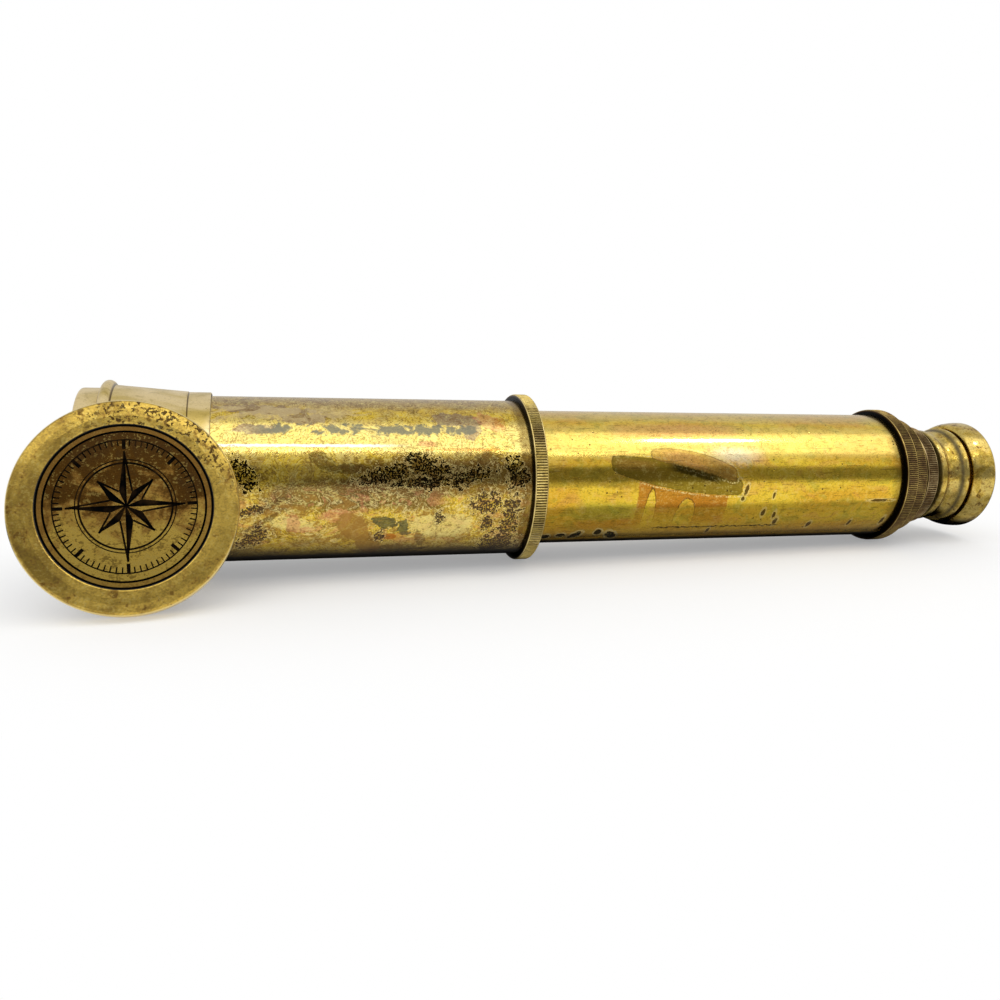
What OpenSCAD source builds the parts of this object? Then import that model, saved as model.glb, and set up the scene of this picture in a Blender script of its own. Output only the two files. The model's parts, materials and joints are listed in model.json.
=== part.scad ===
// Five section brass draw telescope lying on a table, with its loose lens cap leaning on it.
// Every turned piece is a profile of [radius, station] points, where a station is the distance
// in millimetres behind the nose's front face, along the telescope's axis. The barrel tube sets
// the size of the rest: each piece that fits in or on another is given by how much it steps
// from that piece, so that a change of one tube carries through to what it holds.

/* [Barrel] */
// Outside diameter of the barrel tube
barrel_od = 50; // [44:0.5:58]
// Wall of the barrel tube
barrel_wall = 0.8; // [0.6:0.1:1]
// Plain barrel between the front band and the barrel collar
barrel_shown = 93.9; // [80:0.1:110]

/* [Objective end] */
// Height of the nose that the cap slides onto above the barrel tube
nose_rise = 1.85; // [1.5:0.05:2.5]
// Length of the nose in front of the bead
nose_length = 6.1; // [5:0.1:7]
// Radius worn onto the nose's front edge
nose_round = 1; // [0.4:0.1:1.5]
// Height of the round bead that stops the cap above the nose
bead_height = 2.35; // [1.8:0.05:2.8]
// Width of the bead
bead_width = 3.4; // [2.8:0.1:3.8]
// Height of the flared housing above the barrel tube, behind the bead
flare_front_rise = 2.8; // [2.2:0.1:3.4]
// Height of the flared housing above the barrel tube, at the band
flare_rear_rise = 1.2; // [1.1:0.05:1.8]
// Length of the flared housing
flare_length = 20; // [16:0.5:24]
// Height of the plain band behind the housing above the barrel tube
band_rise = 1.05; // [0.8:0.05:1.2]
// Width of the plain band
band_width = 6.5; // [6:0.1:10]

/* [Objective] */
// Wall of the cell around the two objective lenses
cell_wall = 2.6; // [2.2:0.1:3.6]
// Thickness of the crown lens at its edge
crown_edge = 1.6; // [1.4:0.1:1.8]
// Thickness of the flint lens at its edge
flint_edge = 2.2; // [2:0.1:2.4]
// Rise of the lens surfaces at the middle
lens_bulge = 0.9; // [0.5:0.1:1]

/* [Collars] */
// Height of the barrel's collar above the barrel tube, over the knurling
barrel_collar_rise = 2.1; // [1.8:0.05:2.6]
// Length of the barrel's collar
barrel_collar_length = 4.2; // [4.1:0.1:5.5]
// Height of the first draw's collar above its tube
collar_1_rise = 2; // [1.8:0.05:2.6]
// Length of the first draw's collar
collar_1_length = 4.3; // [4.1:0.1:5.5]
// Height of the second draw's collar above its tube
collar_2_rise = 2.05; // [1.8:0.05:2.6]
// Length of the second draw's collar
collar_2_length = 4.3; // [4.1:0.1:5.5]
// Height of the third draw's collar above its tube
collar_3_rise = 2.1; // [1.8:0.05:2.6]
// Length of the third draw's collar
collar_3_length = 4.3; // [4.1:0.1:5.5]
// Length of a collar behind its plain front rim
knurl_length = 3.8; // [3.4:0.1:3.8]
// Distance from one knurl ridge to the next on the barrel's collar
knurl_pitch = 0.85; // [0.8:0.05:1.6]
// Distance from one knurl ridge to the next on the draws' collars
fine_pitch = 0.7; // [0.65:0.05:1.2]
// Height of the knurl ridges
knurl_depth = 0.3; // [0.2:0.05:0.35]
// Depth that a tube enters its collar
socket_depth = 2.8; // [2:0.1:3]
// Length of the sleeve by which a collar guides the next draw
sleeve_length = 6; // [5:0.5:10]

/* [Draws] */
// How much smaller in radius the first draw is than the barrel tube
draw_1_step = 3.1; // [2.6:0.05:3.6]
// How much smaller in radius the second draw is than the first
draw_2_step = 2.95; // [2.6:0.05:3.6]
// How much smaller in radius the third draw is than the second
draw_3_step = 3.15; // [2.6:0.05:3.6]
// How much smaller in radius the eye draw is than the third
draw_4_step = 3.1; // [2.6:0.05:3.6]
// Wall of every draw tube
draw_wall = 0.7; // [0.6:0.05:0.8]
// Length of the stop ring at the front of a draw
stop_length = 3.5; // [3:0.1:5]
// Gap between the barrel collar and the first draw's collar, with the draw pulled right out
draw_1_out = 131.2; // [110:0.1:140]
// Gap between the collars of the first and second draws
draw_2_out = 1.85; // [0.1:0.05:4]
// Gap between the collars of the second and third draws
draw_3_out = 2.95; // [0.1:0.05:5]
// Gap between the third draw's collar and the eyepiece
draw_4_out = 2.7; // [0.5:0.05:8]
// How far the second draw's front end lies behind the first's
draw_2_nest = 6.65; // [5:0.05:12]
// How far the third draw's front end lies behind the second's
draw_3_nest = 6.6; // [5:0.05:12]
// How far the eye draw's front end lies behind the third's
draw_4_nest = 8.45; // [5:0.05:12]

/* [Eyepiece] */
// Height of the eyepiece's flange above the eye draw
flange_rise = 3.9; // [3.4:0.1:4.4]
// Width of that flange
flange_width = 2.5; // [2.2:0.05:3]
// Step down from the flange to the front of the neck
neck_step = 0.4; // [0.3:0.05:0.6]
// Depth of the neck's waist below the flange
waist_depth = 1.3; // [0.8:0.05:1.8]
// Height of the ridge at the back of the neck above the flange
ridge_rise = 0.7; // [0.4:0.05:1]
// Length of the neck from the flange to the ridge
neck_length = 7.6; // [7:0.1:9]
// Width of the ridge
ridge_width = 1.2; // [0.9:0.05:1.4]
// Width of the groove between the ridge and the eyecup
cup_groove = 1; // [0.3:0.1:1.2]
// Step up from the ridge to the front of the eyecup
cup_step = 0.2; // [0:0.05:0.4]
// Swell of the eyecup from its front to its rim
cup_swell = 1.95; // [1.6:0.05:2.6]
// Length of the eyecup
cup_length = 8.8; // [7.6:0.1:10]
// How much smaller in radius the field lens is than the eye draw
field_lens_inset = 2.2; // [1.6:0.1:2.6]
// Diameter of the hole in the field stop
field_stop_d = 12; // [8:0.5:14]
// How much smaller in radius the eye lens is than the field lens
eye_lens_inset = 4; // [3:0.1:4.5]
// How much smaller in radius the hole that the eye looks into is than the eye lens
eye_hole_lap = 1; // [0.6:0.1:1.5]

/* [Erector] */
// Length of the tube that carries the two erecting lenses
erector_length = 60; // [50:1:80]
// Wall of that tube around the lenses
erector_wall = 2; // [1.6:0.1:2.6]
// Diameter of the hole in its stop
erector_stop_d = 7; // [5:0.5:9]

/* [Cap] */
// Wall of the cap's skirt
cap_wall = 1.65; // [1.4:0.05:2]
// Thickness of the whole cap
cap_thickness = 7; // [6.5:0.1:8]
// Thickness of the cap's face in front of the hollow
cap_face = 2.1; // [1.9:0.1:2.3]
// Width of the rim around the medallion let into the face
cap_rim_width = 6.9; // [6.4:0.1:8]
// Thickness of the medallion
medallion_thickness = 0.95; // [0.8:0.05:1.1]
// Depth of the medallion's face below the cap's rim
medallion_recess = 0.35; // [0.2:0.05:0.5]
// Angle by which the cap leans back
cap_lean = 19.8; // [10:0.2:24]
// Angle by which the cap is turned towards the eyepiece
cap_turn = 3.5; // [0:0.5:6]
// Station of the cap's centre along the telescope
cap_station = 13.2; // [8:0.2:15]
// Gap left between the leaning cap and the telescope
cap_gap = 0.3; // [0.2:0.1:1]

/* [Fits] */
// Radial clearance of a draw in its collar, and of a stop ring in its tube
slide_fit = 0.08; // [0.04:0.01:0.1]
// Radial clearance of pieces that screw or press together
seat_fit = 0.03; // [0.01:0.01:0.05]
// Radial clearance of the cap on the nose
cap_fit = 0.1; // [0.06:0.01:0.15]
// End clearance between faces that stop against each other
face_gap = 0.1; // [0.05:0.05:0.2]
// Gap left before the first draw's stop ring meets the barrel's collar
pull_gap = 0.3; // [0.1:0.1:1]

/* [Hidden] */
$fn = 96;
sliver = 0.01;

// Radii of the tubes, each from the one around it
barrel_r = barrel_od / 2;
barrel_bore = barrel_r - barrel_wall;
draw_1_r = barrel_r - draw_1_step;
draw_2_r = draw_1_r - draw_2_step;
draw_3_r = draw_2_r - draw_3_step;
draw_4_r = draw_3_r - draw_4_step;
draw_1_bore = draw_1_r - draw_wall;
draw_2_bore = draw_2_r - draw_wall;
draw_3_bore = draw_3_r - draw_wall;
draw_4_bore = draw_4_r - draw_wall;

// Radii of what is turned on them
nose_r = barrel_r + nose_rise;
bead_r = nose_r + bead_height;
flare_front_r = barrel_r + flare_front_rise;
flare_rear_r = barrel_r + flare_rear_rise;
band_r = barrel_r + band_rise;
barrel_collar_r = barrel_r + barrel_collar_rise;
collar_1_r = draw_1_r + collar_1_rise;
collar_2_r = draw_2_r + collar_2_rise;
collar_3_r = draw_3_r + collar_3_rise;
flange_r = draw_4_r + flange_rise;
neck_front_r = flange_r - neck_step;
neck_waist_r = flange_r - waist_depth;
ridge_r = flange_r + ridge_rise;
cup_front_r = ridge_r + cup_step;
cup_rim_r = cup_front_r + cup_swell;

// Stations of the objective end and of the barrel
bead_start = nose_length;
flare_start = bead_start + bead_width;
band_start = flare_start + flare_length;
barrel_start = band_start + band_width;
barrel_collar_start = barrel_start + barrel_shown;
barrel_collar_end = barrel_collar_start + barrel_collar_length;

// Stations of the draws' collars and of the eyepiece
collar_1_start = barrel_collar_end + draw_1_out;
collar_1_end = collar_1_start + collar_1_length;
collar_2_start = collar_1_end + draw_2_out;
collar_2_end = collar_2_start + collar_2_length;
collar_3_start = collar_2_end + draw_3_out;
collar_3_end = collar_3_start + collar_3_length;
eyepiece_start = collar_3_end + draw_4_out;
neck_start = eyepiece_start + flange_width;
ridge_start = neck_start + neck_length;
cup_start = ridge_start + ridge_width + cup_groove;
cup_end = cup_start + cup_length;

// Details of a collar and of a stop ring
rim_width = 0.4;
rim_step = 0.12;
rim_bevel = 0.2;
knurl_root = 0.4;
sleeve_bevel = 0.3;
stop_lip = 0.6;

// Front ends of the draw tubes. The first draw's stop ring all but meets the barrel's collar.
draw_1_front = barrel_collar_start + socket_depth - sleeve_length - pull_gap - stop_length + stop_lip;
draw_2_front = draw_1_front + draw_2_nest;
draw_3_front = draw_2_front + draw_3_nest;
draw_4_front = draw_3_front + draw_4_nest;
tube_socket = 4;

// Objective end details
housing_seat = nose_length + bead_width - 0.6;
shoulder_width = 2;
cell_r = barrel_bore + 0.4;
cell_start = 0.5;
cell_bevel = 0.4;
cell_end = housing_seat - shoulder_width;
lens_r = cell_r - cell_wall;
ring_lap = 1;
shoulder_bore = lens_r - 0.6;
lens_seat = cell_end - 0.8;
spigot_length = 5;
spigot_wall = 0.55;
bead_fillet = 0.3;
seam_width = 0.4;
seam_depth = 0.25;
band_bevel = 0.2;
cement = 0.03;

// A lens whose bulge faces the shoulder that holds it stands off by its sag at the shoulder's bore
function sag(r, bore, rise) = rise * (1 - pow(bore / r, 2));
crown_start = lens_seat - crown_edge - flint_edge - 2 * cement;
ring_end = crown_start - sag(lens_r, shoulder_bore, lens_bulge) - cement;
ring_front = ring_end - 0.8;

// Eyepiece details
flange_round = 0.6;
field_lens_r = draw_4_r - field_lens_inset;
eye_lens_r = field_lens_r - eye_lens_inset;
eye_hole_r = eye_lens_r - eye_hole_lap;
eye_bore = field_lens_r + seat_fit;
field_lip = 0.8;
field_seat = eyepiece_start + tube_socket + 1.1;
field_edge = 1.6;
lens_rise = 0.7;
field_start = field_seat + sag(field_lens_r, eye_bore - field_lip, lens_rise) + cement;
stop_start = field_start + field_edge + cement;
stop_wall = 0.8;
cup_spigot_r = ridge_r - 2.2;
cup_spigot_end = cup_start + 2.6;
cup_web = 0.9;
cup_rim_round = 1.5;
ridge_round = 0.45;
eye_edge = 1.5;
eye_cell_start = cup_spigot_end - 3.2;
eye_cell_end = cup_spigot_end;
eye_cell_lip = 0.6;
eye_cell_bore = eye_lens_r - 0.7;
eye_lens_start = eye_cell_start + eye_cell_lip + sag(eye_lens_r, eye_cell_bore, lens_rise) + cement;
eye_ring_start = eye_lens_start + eye_edge + cement;

// Erector details. Its tube lies just inside the front of the eye draw.
erector_start = draw_4_front + 2;
erector_end = erector_start + erector_length;
erector_edge = 1.8;
erector_ring_length = 1.6;
erector_shoulder = 1;
erector_lens_r = draw_4_bore - erector_wall;
erector_clear = erector_lens_r - 1;
erector_pocket = erector_ring_length + erector_edge + 2 * cement
    + sag(erector_lens_r, erector_clear, lens_rise);

// The telescope rests on the barrel's collar and on the first draw's collar, which is smaller,
// so its axis falls towards the eyepiece by this angle
contact_1 = barrel_collar_end - rim_width;
contact_2 = collar_1_end - rim_width;
tilt = atan((barrel_collar_r - collar_1_r) / (contact_2 - contact_1));
axis_height = contact_1 * sin(tilt) + barrel_collar_r * cos(tilt);
axis_way = [cos(tilt), 0, -sin(tilt)];

// Outline of the cap's outside as [radius, height above its face]
cap_bore = nose_r + cap_fit;
cap_r = cap_bore + cap_wall;
medallion_r = cap_r - cap_rim_width;
cap_bevel = 0.3;
cap_edge_round = 1.3;
cap_edge_drop = 0.5;
cap_slope_width = 1.6;
cap_slope_drop = 0.15;
cap_lip_width = 2.4;
cap_lip_round = 0.5;
cap_lip_drop = 0.05;
cap_outside = concat(
    [[cap_r - cap_bevel, -cap_thickness], [cap_r, -cap_thickness + cap_bevel]],
    [for (a = [0:15:75]) [cap_r - cap_edge_round * (1 - cos(a)),
                          -cap_edge_drop - cap_edge_round * (1 - sin(a))]],
    [[cap_r - cap_edge_round - cap_slope_width, -cap_slope_drop], [medallion_r + cap_lip_width, 0],
     [medallion_r + cap_lip_round, -cap_lip_drop], [medallion_r, -medallion_recess]]);

// The cap's directions: out of its face, level across it, and up along it
cap_out = [cos(cap_lean) * sin(cap_turn), -cos(cap_lean) * cos(cap_turn), sin(cap_lean)];
cap_across = [cos(cap_turn), sin(cap_turn), 0];
cap_up = [-sin(cap_lean) * sin(cap_turn), sin(cap_lean) * cos(cap_turn), cos(cap_lean)];
cap_level = [sin(cap_turn), -cos(cap_turn), 0];
cap_height = max([for (p = cap_outside) p[0] * cos(cap_lean) - p[1] * sin(cap_lean)]);

// How far the cap's face stands from the axis, so that its open rim just clears the telescope:
// for each point of the rim, the move along cap_level at which it is cap_gap from the outline
function outline(t) = lookup(t, [
    [-1, 0], [-sliver, 0], [0, nose_r], [bead_start - bead_fillet, nose_r],
    [bead_start, bead_r], [flare_start, bead_r],
    [flare_start + sliver, flare_front_r], [band_start, flare_rear_r],
    [barrel_start, band_r], [barrel_start + band_bevel, barrel_r], [barrel_collar_start, barrel_r]]);
function rim_point(a, r, drop) = [cap_station * cos(tilt), 0, cap_height - axis_height]
    - drop * cap_out + r * (cos(a) * cap_across + sin(a) * cap_up);
function across_axis(v) = v - (v * axis_way) * axis_way;
function move_to(w, h, reach) = let (a = h * h, b = 2 * w * h, c = w * w - reach * reach,
    d = b * b - 4 * a * c) d < 0 ? 0 : (-b + sqrt(d)) / (2 * a);
function stand_at(p, guess) = move_to(across_axis(p), across_axis(cap_level),
    outline((p + guess * cap_level) * axis_way) + cap_gap);
function stand_for(guess) = max([for (a = [0:2:180]) for (r = [cap_bore, cap_r])
    stand_at(rim_point(a, r, cap_thickness), guess)]);
function floor_stand() = (bead_r * norm(across_axis(cap_out)) + cap_gap + cap_face
    + [bead_start * cos(tilt) - cap_station * cos(tilt), 0, axis_height - cap_height] * cap_out)
    / (cap_level * cap_out);
cap_stand = max(stand_for(stand_for(bead_r)), floor_stand());
cap_centre = [cap_station * cos(tilt), 0, cap_height] + cap_stand * cap_level;

// Reach of the cap and of the telescope, which sets the origin under the middle of the model
function cap_reach(way) = max([for (p = cap_outside)
    (cap_centre + p[1] * cap_out) * way + p[0] * sqrt(1 - pow(cap_out * way, 2))]);
left = min(-cap_reach([-1, 0, 0]), -nose_r * sin(tilt));
right = (cup_end - 1) * cos(tilt) + (cup_rim_r - 1) * sin(tilt) + 1;
front = -cap_reach([0, -1, 0]);
back = bead_r;
origin = [-(left + right) / 2, -(front + back) / 2, 0];

// Points of an arc about [x, y]
function arc(x, y, r, from, to, steps) = [for (i = [0:steps])
    let (a = from + (to - from) * i / steps) [x + r * cos(a), y + r * sin(a)]];

// Puts a piece turned about Z onto the telescope's axis
module on_axis() {
    translate(origin + [0, 0, axis_height]) rotate([0, 90 + tilt, 0]) children();
}

// Puts a piece turned about Z, with its face at zero, where the cap lies
module on_cap() {
    translate(origin + cap_centre) rotate([90 - cap_lean, 0, cap_turn]) children();
}

// A turned piece from its half outline
module turned(outline) {
    rotate_extrude() polygon(outline);
}

// A ring of one bore and one outside radius
module ring(bore, r, from, to) {
    turned([[bore, from], [r, from], [r, to], [bore, to]]);
}

// A lens of radius r whose edge runs from one station to the other, with its two rises
module lens(r, from, to, front_rise, rear_rise) {
    steps = 10;
    front = [for (i = [0:steps]) [r * i / steps, from - front_rise * (1 - pow(i / steps, 2))]];
    rear = [for (i = [steps:-1:0]) [r * i / steps, to + rear_rise * (1 - pow(i / steps, 2))]];
    turned(concat(front, rear));
}

// Ridges of a straight knurl, as a toothed ring
module knurl(r, pitch, from, to) {
    count = round(PI * 2 * r / pitch);
    teeth = [for (i = [0:count - 1]) for (side = [0, 1])
        let (a = 360 * (i + side / 2) / count, reach = r - side * knurl_depth)
        [reach * cos(a), reach * sin(a)]];
    translate([0, 0, from]) linear_extrude(height = to - from) difference() {
        polygon(teeth);
        circle(r = r - knurl_depth - 2 * knurl_root);
    }
}

// A knurled collar. The tube before it enters its front, and its sleeve guides the next draw.
module collar(r, pitch, start, length, tube_r, tube_bore, bore) {
    seat = start + socket_depth;
    end = start + length;
    knurl_start = end - knurl_length;
    rim_r = r - rim_step;
    core_r = r - knurl_depth - knurl_root;
    sleeve_r = tube_bore - seat_fit;
    union() {
        turned([
            [bore, seat - sleeve_length], [sleeve_r - sleeve_bevel, seat - sleeve_length],
            [sleeve_r, seat - sleeve_length + sleeve_bevel], [sleeve_r, seat],
            [tube_r + seat_fit, seat], [tube_r + seat_fit, start],
            [rim_r - rim_bevel, start], [rim_r, start + rim_bevel],
            [rim_r, knurl_start], [core_r, knurl_start],
            [core_r, end - rim_width], [rim_r, end - rim_width],
            [rim_r, end - rim_bevel], [rim_r - rim_bevel, end], [bore, end]]);
        knurl(r, pitch, knurl_start - sliver, end - rim_width + sliver);
    }
}

// The ring at the front of a draw, which runs in the tube outside it and stops at the collar
module stop_ring(tube_r, tube_bore, outer_bore, tube_front) {
    r = outer_bore - slide_fit;
    front = tube_front - stop_lip;
    turned([
        [tube_bore, front], [r - sleeve_bevel, front], [r, front + sleeve_bevel], [r, front + stop_length],
        [tube_r + seat_fit, front + stop_length], [tube_r + seat_fit, tube_front],
        [tube_bore, tube_front]]);
}

module barrel_tube() {
    color("goldenrod") on_axis()
        ring(barrel_bore, barrel_r, housing_seat, barrel_collar_start + socket_depth);
}

module objective_housing() {
    bead_middle = bead_start + bead_width / 2;
    bead_foot = bead_r - bead_width / 2;
    socket_r = barrel_r + seat_fit;
    spigot_bore = barrel_r + spigot_wall + 2 * seat_fit;
    spigot_floor = band_start - spigot_length - face_gap;
    color("darkkhaki") on_axis() turned(concat(
        [[shoulder_bore, cell_end], [cell_r + seat_fit, cell_end], [cell_r + seat_fit, 0]],
        arc(nose_r - nose_round, nose_round, nose_round, -90, 0, 5),
        [[nose_r, bead_start - bead_fillet], [nose_r + bead_fillet, bead_start]],
        arc(bead_foot, bead_middle, bead_width / 2, -75, 75, 10),
        [[flare_front_r, flare_start], [flare_rear_r, band_start],
         [spigot_bore, band_start], [spigot_bore, spigot_floor], [socket_r, spigot_floor],
         [socket_r, housing_seat], [shoulder_bore, housing_seat]]));
}

module barrel_band() {
    inner = barrel_r + seat_fit;
    spigot = barrel_r + spigot_wall + seat_fit;
    color("tan") on_axis() turned([
        [inner, band_start - spigot_length], [spigot, band_start - spigot_length],
        [spigot, band_start + sliver], [flare_rear_r - seam_depth, band_start + sliver],
        [flare_rear_r - seam_depth, band_start + seam_width], [band_r, band_start + seam_width],
        [band_r, barrel_start - band_bevel], [band_r - band_bevel, barrel_start],
        [inner, barrel_start]]);
}

module objective_cell() {
    ring_bore = lens_r + ring_lap;
    color("peru") on_axis() turned([
        [ring_bore, cell_start], [cell_r - cell_bevel, cell_start], [cell_r, cell_start + cell_bevel],
        [cell_r, cell_end - sliver], [shoulder_bore, cell_end - sliver], [shoulder_bore, lens_seat],
        [lens_r + seat_fit, lens_seat], [lens_r + seat_fit, crown_start], [ring_bore, crown_start]]);
}

module crown_lens() {
    color("lightcyan") on_axis()
        lens(lens_r, crown_start, crown_start + crown_edge, lens_bulge, lens_bulge);
}

module flint_lens() {
    end = lens_seat - cement;
    color("powderblue") on_axis()
        lens(lens_r, end - flint_edge, end, -lens_bulge, 0);
}

module objective_ring() {
    r = lens_r + ring_lap - seat_fit;
    color("sienna") on_axis() turned([
        [shoulder_bore, ring_end], [shoulder_bore + cell_bevel, ring_front],
        [r, ring_front], [r, ring_end]]);
}

module barrel_collar() {
    color("khaki") on_axis() collar(barrel_collar_r, knurl_pitch, barrel_collar_start,
        barrel_collar_length, barrel_r, barrel_bore, draw_1_r + slide_fit);
}

module draw_1_tube() {
    color("gold") on_axis()
        ring(draw_1_bore, draw_1_r, draw_1_front, collar_1_start + socket_depth - sliver);
}

module draw_1_stop_ring() {
    color("sienna") on_axis() stop_ring(draw_1_r, draw_1_bore, barrel_bore, draw_1_front);
}

module draw_1_collar() {
    color("saddlebrown") on_axis() collar(collar_1_r, fine_pitch, collar_1_start, collar_1_length,
        draw_1_r, draw_1_bore, draw_2_r + slide_fit);
}

module draw_2_tube() {
    color("goldenrod") on_axis()
        ring(draw_2_bore, draw_2_r, draw_2_front, collar_2_start + socket_depth - sliver);
}

module draw_2_stop_ring() {
    color("sienna") on_axis() stop_ring(draw_2_r, draw_2_bore, draw_1_bore, draw_2_front);
}

module draw_2_collar() {
    color("peru") on_axis() collar(collar_2_r, fine_pitch, collar_2_start, collar_2_length,
        draw_2_r, draw_2_bore, draw_3_r + slide_fit);
}

module draw_3_tube() {
    color("gold") on_axis()
        ring(draw_3_bore, draw_3_r, draw_3_front, collar_3_start + socket_depth - sliver);
}

module draw_3_stop_ring() {
    color("sienna") on_axis() stop_ring(draw_3_r, draw_3_bore, draw_2_bore, draw_3_front);
}

module draw_3_collar() {
    color("saddlebrown") on_axis() collar(collar_3_r, fine_pitch, collar_3_start, collar_3_length,
        draw_3_r, draw_3_bore, draw_4_r + slide_fit);
}

module draw_4_tube() {
    color("goldenrod") on_axis()
        ring(draw_4_bore, draw_4_r, draw_4_front, eyepiece_start + tube_socket - sliver);
}

module draw_4_stop_ring() {
    color("sienna") on_axis() stop_ring(draw_4_r, draw_4_bore, draw_3_bore, draw_4_front);
}

module erector_tube() {
    r = draw_4_bore - seat_fit;
    bore = erector_lens_r + seat_fit;
    front = erector_start + erector_pocket;
    rear = erector_end - erector_pocket;
    color("peru") on_axis() turned([
        [bore, erector_start], [r, erector_start], [r, erector_end], [bore, erector_end],
        [bore, rear], [erector_clear, rear], [erector_clear, rear - erector_shoulder],
        [bore, rear - erector_shoulder], [bore, front + erector_shoulder],
        [erector_clear, front + erector_shoulder], [erector_clear, front], [bore, front]]);
}

module erector_front_lens() {
    start = erector_start + erector_ring_length + cement;
    color("lightcyan") on_axis()
        lens(erector_lens_r, start, start + erector_edge, 0, lens_rise);
}

module erector_front_ring() {
    color("sienna") on_axis()
        ring(erector_clear, erector_lens_r, erector_start, erector_start + erector_ring_length);
}

// A disc with a knife edge round its hole, which keeps stray light from the second lens
module erector_stop() {
    middle = (erector_start + erector_end) / 2;
    half_width = 2;
    color("dimgray") on_axis() turned([
        [erector_stop_d / 2, middle], [erector_lens_r, middle - half_width],
        [erector_lens_r, middle + half_width]]);
}

module erector_rear_lens() {
    end = erector_end - erector_ring_length - cement;
    color("lightcyan") on_axis()
        lens(erector_lens_r, end - erector_edge, end, lens_rise, 0);
}

module erector_rear_ring() {
    color("sienna") on_axis()
        ring(erector_clear, erector_lens_r, erector_end - erector_ring_length, erector_end);
}

// The neck is a hollow curve that leaves the flange and swells out to the ridge
module eyepiece_body() {
    dip = neck_waist_r - (neck_front_r + ridge_r) / 2;
    steps = 14;
    neck = [for (i = [1:steps]) let (s = i / steps)
        [neck_front_r + (ridge_r - neck_front_r) * pow(s, 1.6) + dip * sin(180 * pow(s, 0.8)),
         neck_start + neck_length * s]];
    socket_end = eyepiece_start + tube_socket;
    color("darkgoldenrod") on_axis() turned(concat(
        [[eye_bore - field_lip, socket_end], [draw_4_r + seat_fit, socket_end],
         [draw_4_r + seat_fit, eyepiece_start]],
        arc(flange_r - flange_round, eyepiece_start + flange_round, flange_round, -90, 0, 4),
        arc(flange_r - flange_round, neck_start - flange_round, flange_round, 0, 60, 3),
        [[neck_front_r, neck_start]],
        neck,
        arc(ridge_r - ridge_round, ridge_start + ridge_width - ridge_round, ridge_round, 0, 90, 4),
        [[cup_spigot_r, ridge_start + ridge_width], [cup_spigot_r, cup_spigot_end],
         [eye_bore, cup_spigot_end], [eye_bore, field_seat], [eye_bore - field_lip, field_seat]]));
}

// The cup swells to a round rim, and its back is dished down to the eye hole
module eyecup() {
    rim_r = cup_rim_r - cup_rim_round;
    dish_r = rim_r - 1;
    web_start = cup_spigot_end + face_gap;
    web_end = web_start + cup_web;
    swell_end = cup_end - cup_rim_round;
    steps = 10;
    swell = [for (i = [0:steps - 1]) let (a = 90 * i / steps)
        [cup_front_r + cup_swell * sin(a), swell_end - (swell_end - cup_start) * cos(a)]];
    dish = [for (i = [0:steps]) let (s = 1 - i / steps)
        [eye_hole_r + (dish_r - eye_hole_r) * s, web_end + (cup_end - web_end) * pow(s, 2)]];
    color("gold") on_axis() turned(concat(
        [[cup_spigot_r + seat_fit, cup_start]],
        swell,
        arc(rim_r, swell_end, cup_rim_round, 0, 90, 6),
        dish,
        [[eye_hole_r, web_start], [cup_spigot_r + seat_fit, web_start]]));
}

module field_lens() {
    color("lightcyan") on_axis()
        lens(field_lens_r, field_start, field_start + field_edge, lens_rise, 0);
}

// A spacer between the two lenses that carries the field stop
module field_stop() {
    r = eye_bore - seat_fit;
    inner = r - stop_wall;
    stop_r = field_stop_d / 2;
    end = eye_cell_start - cement;
    middle = (stop_start + end) / 2;
    edge = 0.2;
    color("dimgray") on_axis() turned([
        [inner, stop_start], [r, stop_start], [r, end], [inner, end],
        [inner, middle + 2 * edge], [stop_r, middle + edge],
        [stop_r, middle - edge], [inner, middle - 2 * edge]]);
}

module eye_lens_cell() {
    ring_bore = eye_lens_r + ring_lap;
    lens_bore = eye_lens_r + seat_fit;
    lip_end = eye_cell_start + eye_cell_lip;
    color("peru") on_axis() turned([
        [eye_cell_bore, eye_cell_start], [eye_bore - seat_fit, eye_cell_start],
        [eye_bore - seat_fit, eye_cell_end], [ring_bore, eye_cell_end],
        [ring_bore, eye_ring_start - cement], [lens_bore, eye_ring_start - cement],
        [lens_bore, lip_end], [eye_cell_bore, lip_end]]);
}

module eye_lens() {
    color("lightcyan") on_axis()
        lens(eye_lens_r, eye_lens_start, eye_lens_start + eye_edge, lens_rise, 0);
}

module eye_lens_ring() {
    color("sienna") on_axis()
        ring(eye_hole_r, eye_lens_r + ring_lap - seat_fit, eye_ring_start, eye_cell_end);
}

module cap_shell() {
    pocket = medallion_recess + medallion_thickness + cement;
    corner = 0.6;
    color("palegoldenrod") on_cap() turned(concat(
        cap_outside,
        [[medallion_r, -pocket], [0, -pocket], [0, -cap_face], [cap_bore - corner, -cap_face],
         [cap_bore, -cap_face - corner], [cap_bore, -cap_thickness]]));
}

// The medallion has one ring engraved near its edge
module cap_medallion() {
    r = medallion_r - seat_fit;
    bevel = 0.15;
    line_r = r - 1.85;
    line_width = 0.35;
    line_depth = 0.2;
    top = -medallion_recess;
    color("darkgoldenrod") on_cap() turned([
        [0, top - medallion_thickness], [r, top - medallion_thickness], [r, top - bevel],
        [r - bevel, top], [line_r + line_width / 2, top], [line_r, top - line_depth],
        [line_r - line_width / 2, top], [0, top]]);
}

barrel_tube();
objective_housing();
barrel_band();
objective_cell();
crown_lens();
flint_lens();
objective_ring();
barrel_collar();
draw_1_tube();
draw_1_stop_ring();
draw_1_collar();
draw_2_tube();
draw_2_stop_ring();
draw_2_collar();
draw_3_tube();
draw_3_stop_ring();
draw_3_collar();
draw_4_tube();
draw_4_stop_ring();
erector_tube();
erector_front_lens();
erector_front_ring();
erector_stop();
erector_rear_lens();
erector_rear_ring();
eyepiece_body();
eyecup();
field_lens();
field_stop();
eye_lens_cell();
eye_lens();
eye_lens_ring();
cap_shell();
cap_medallion();
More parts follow.
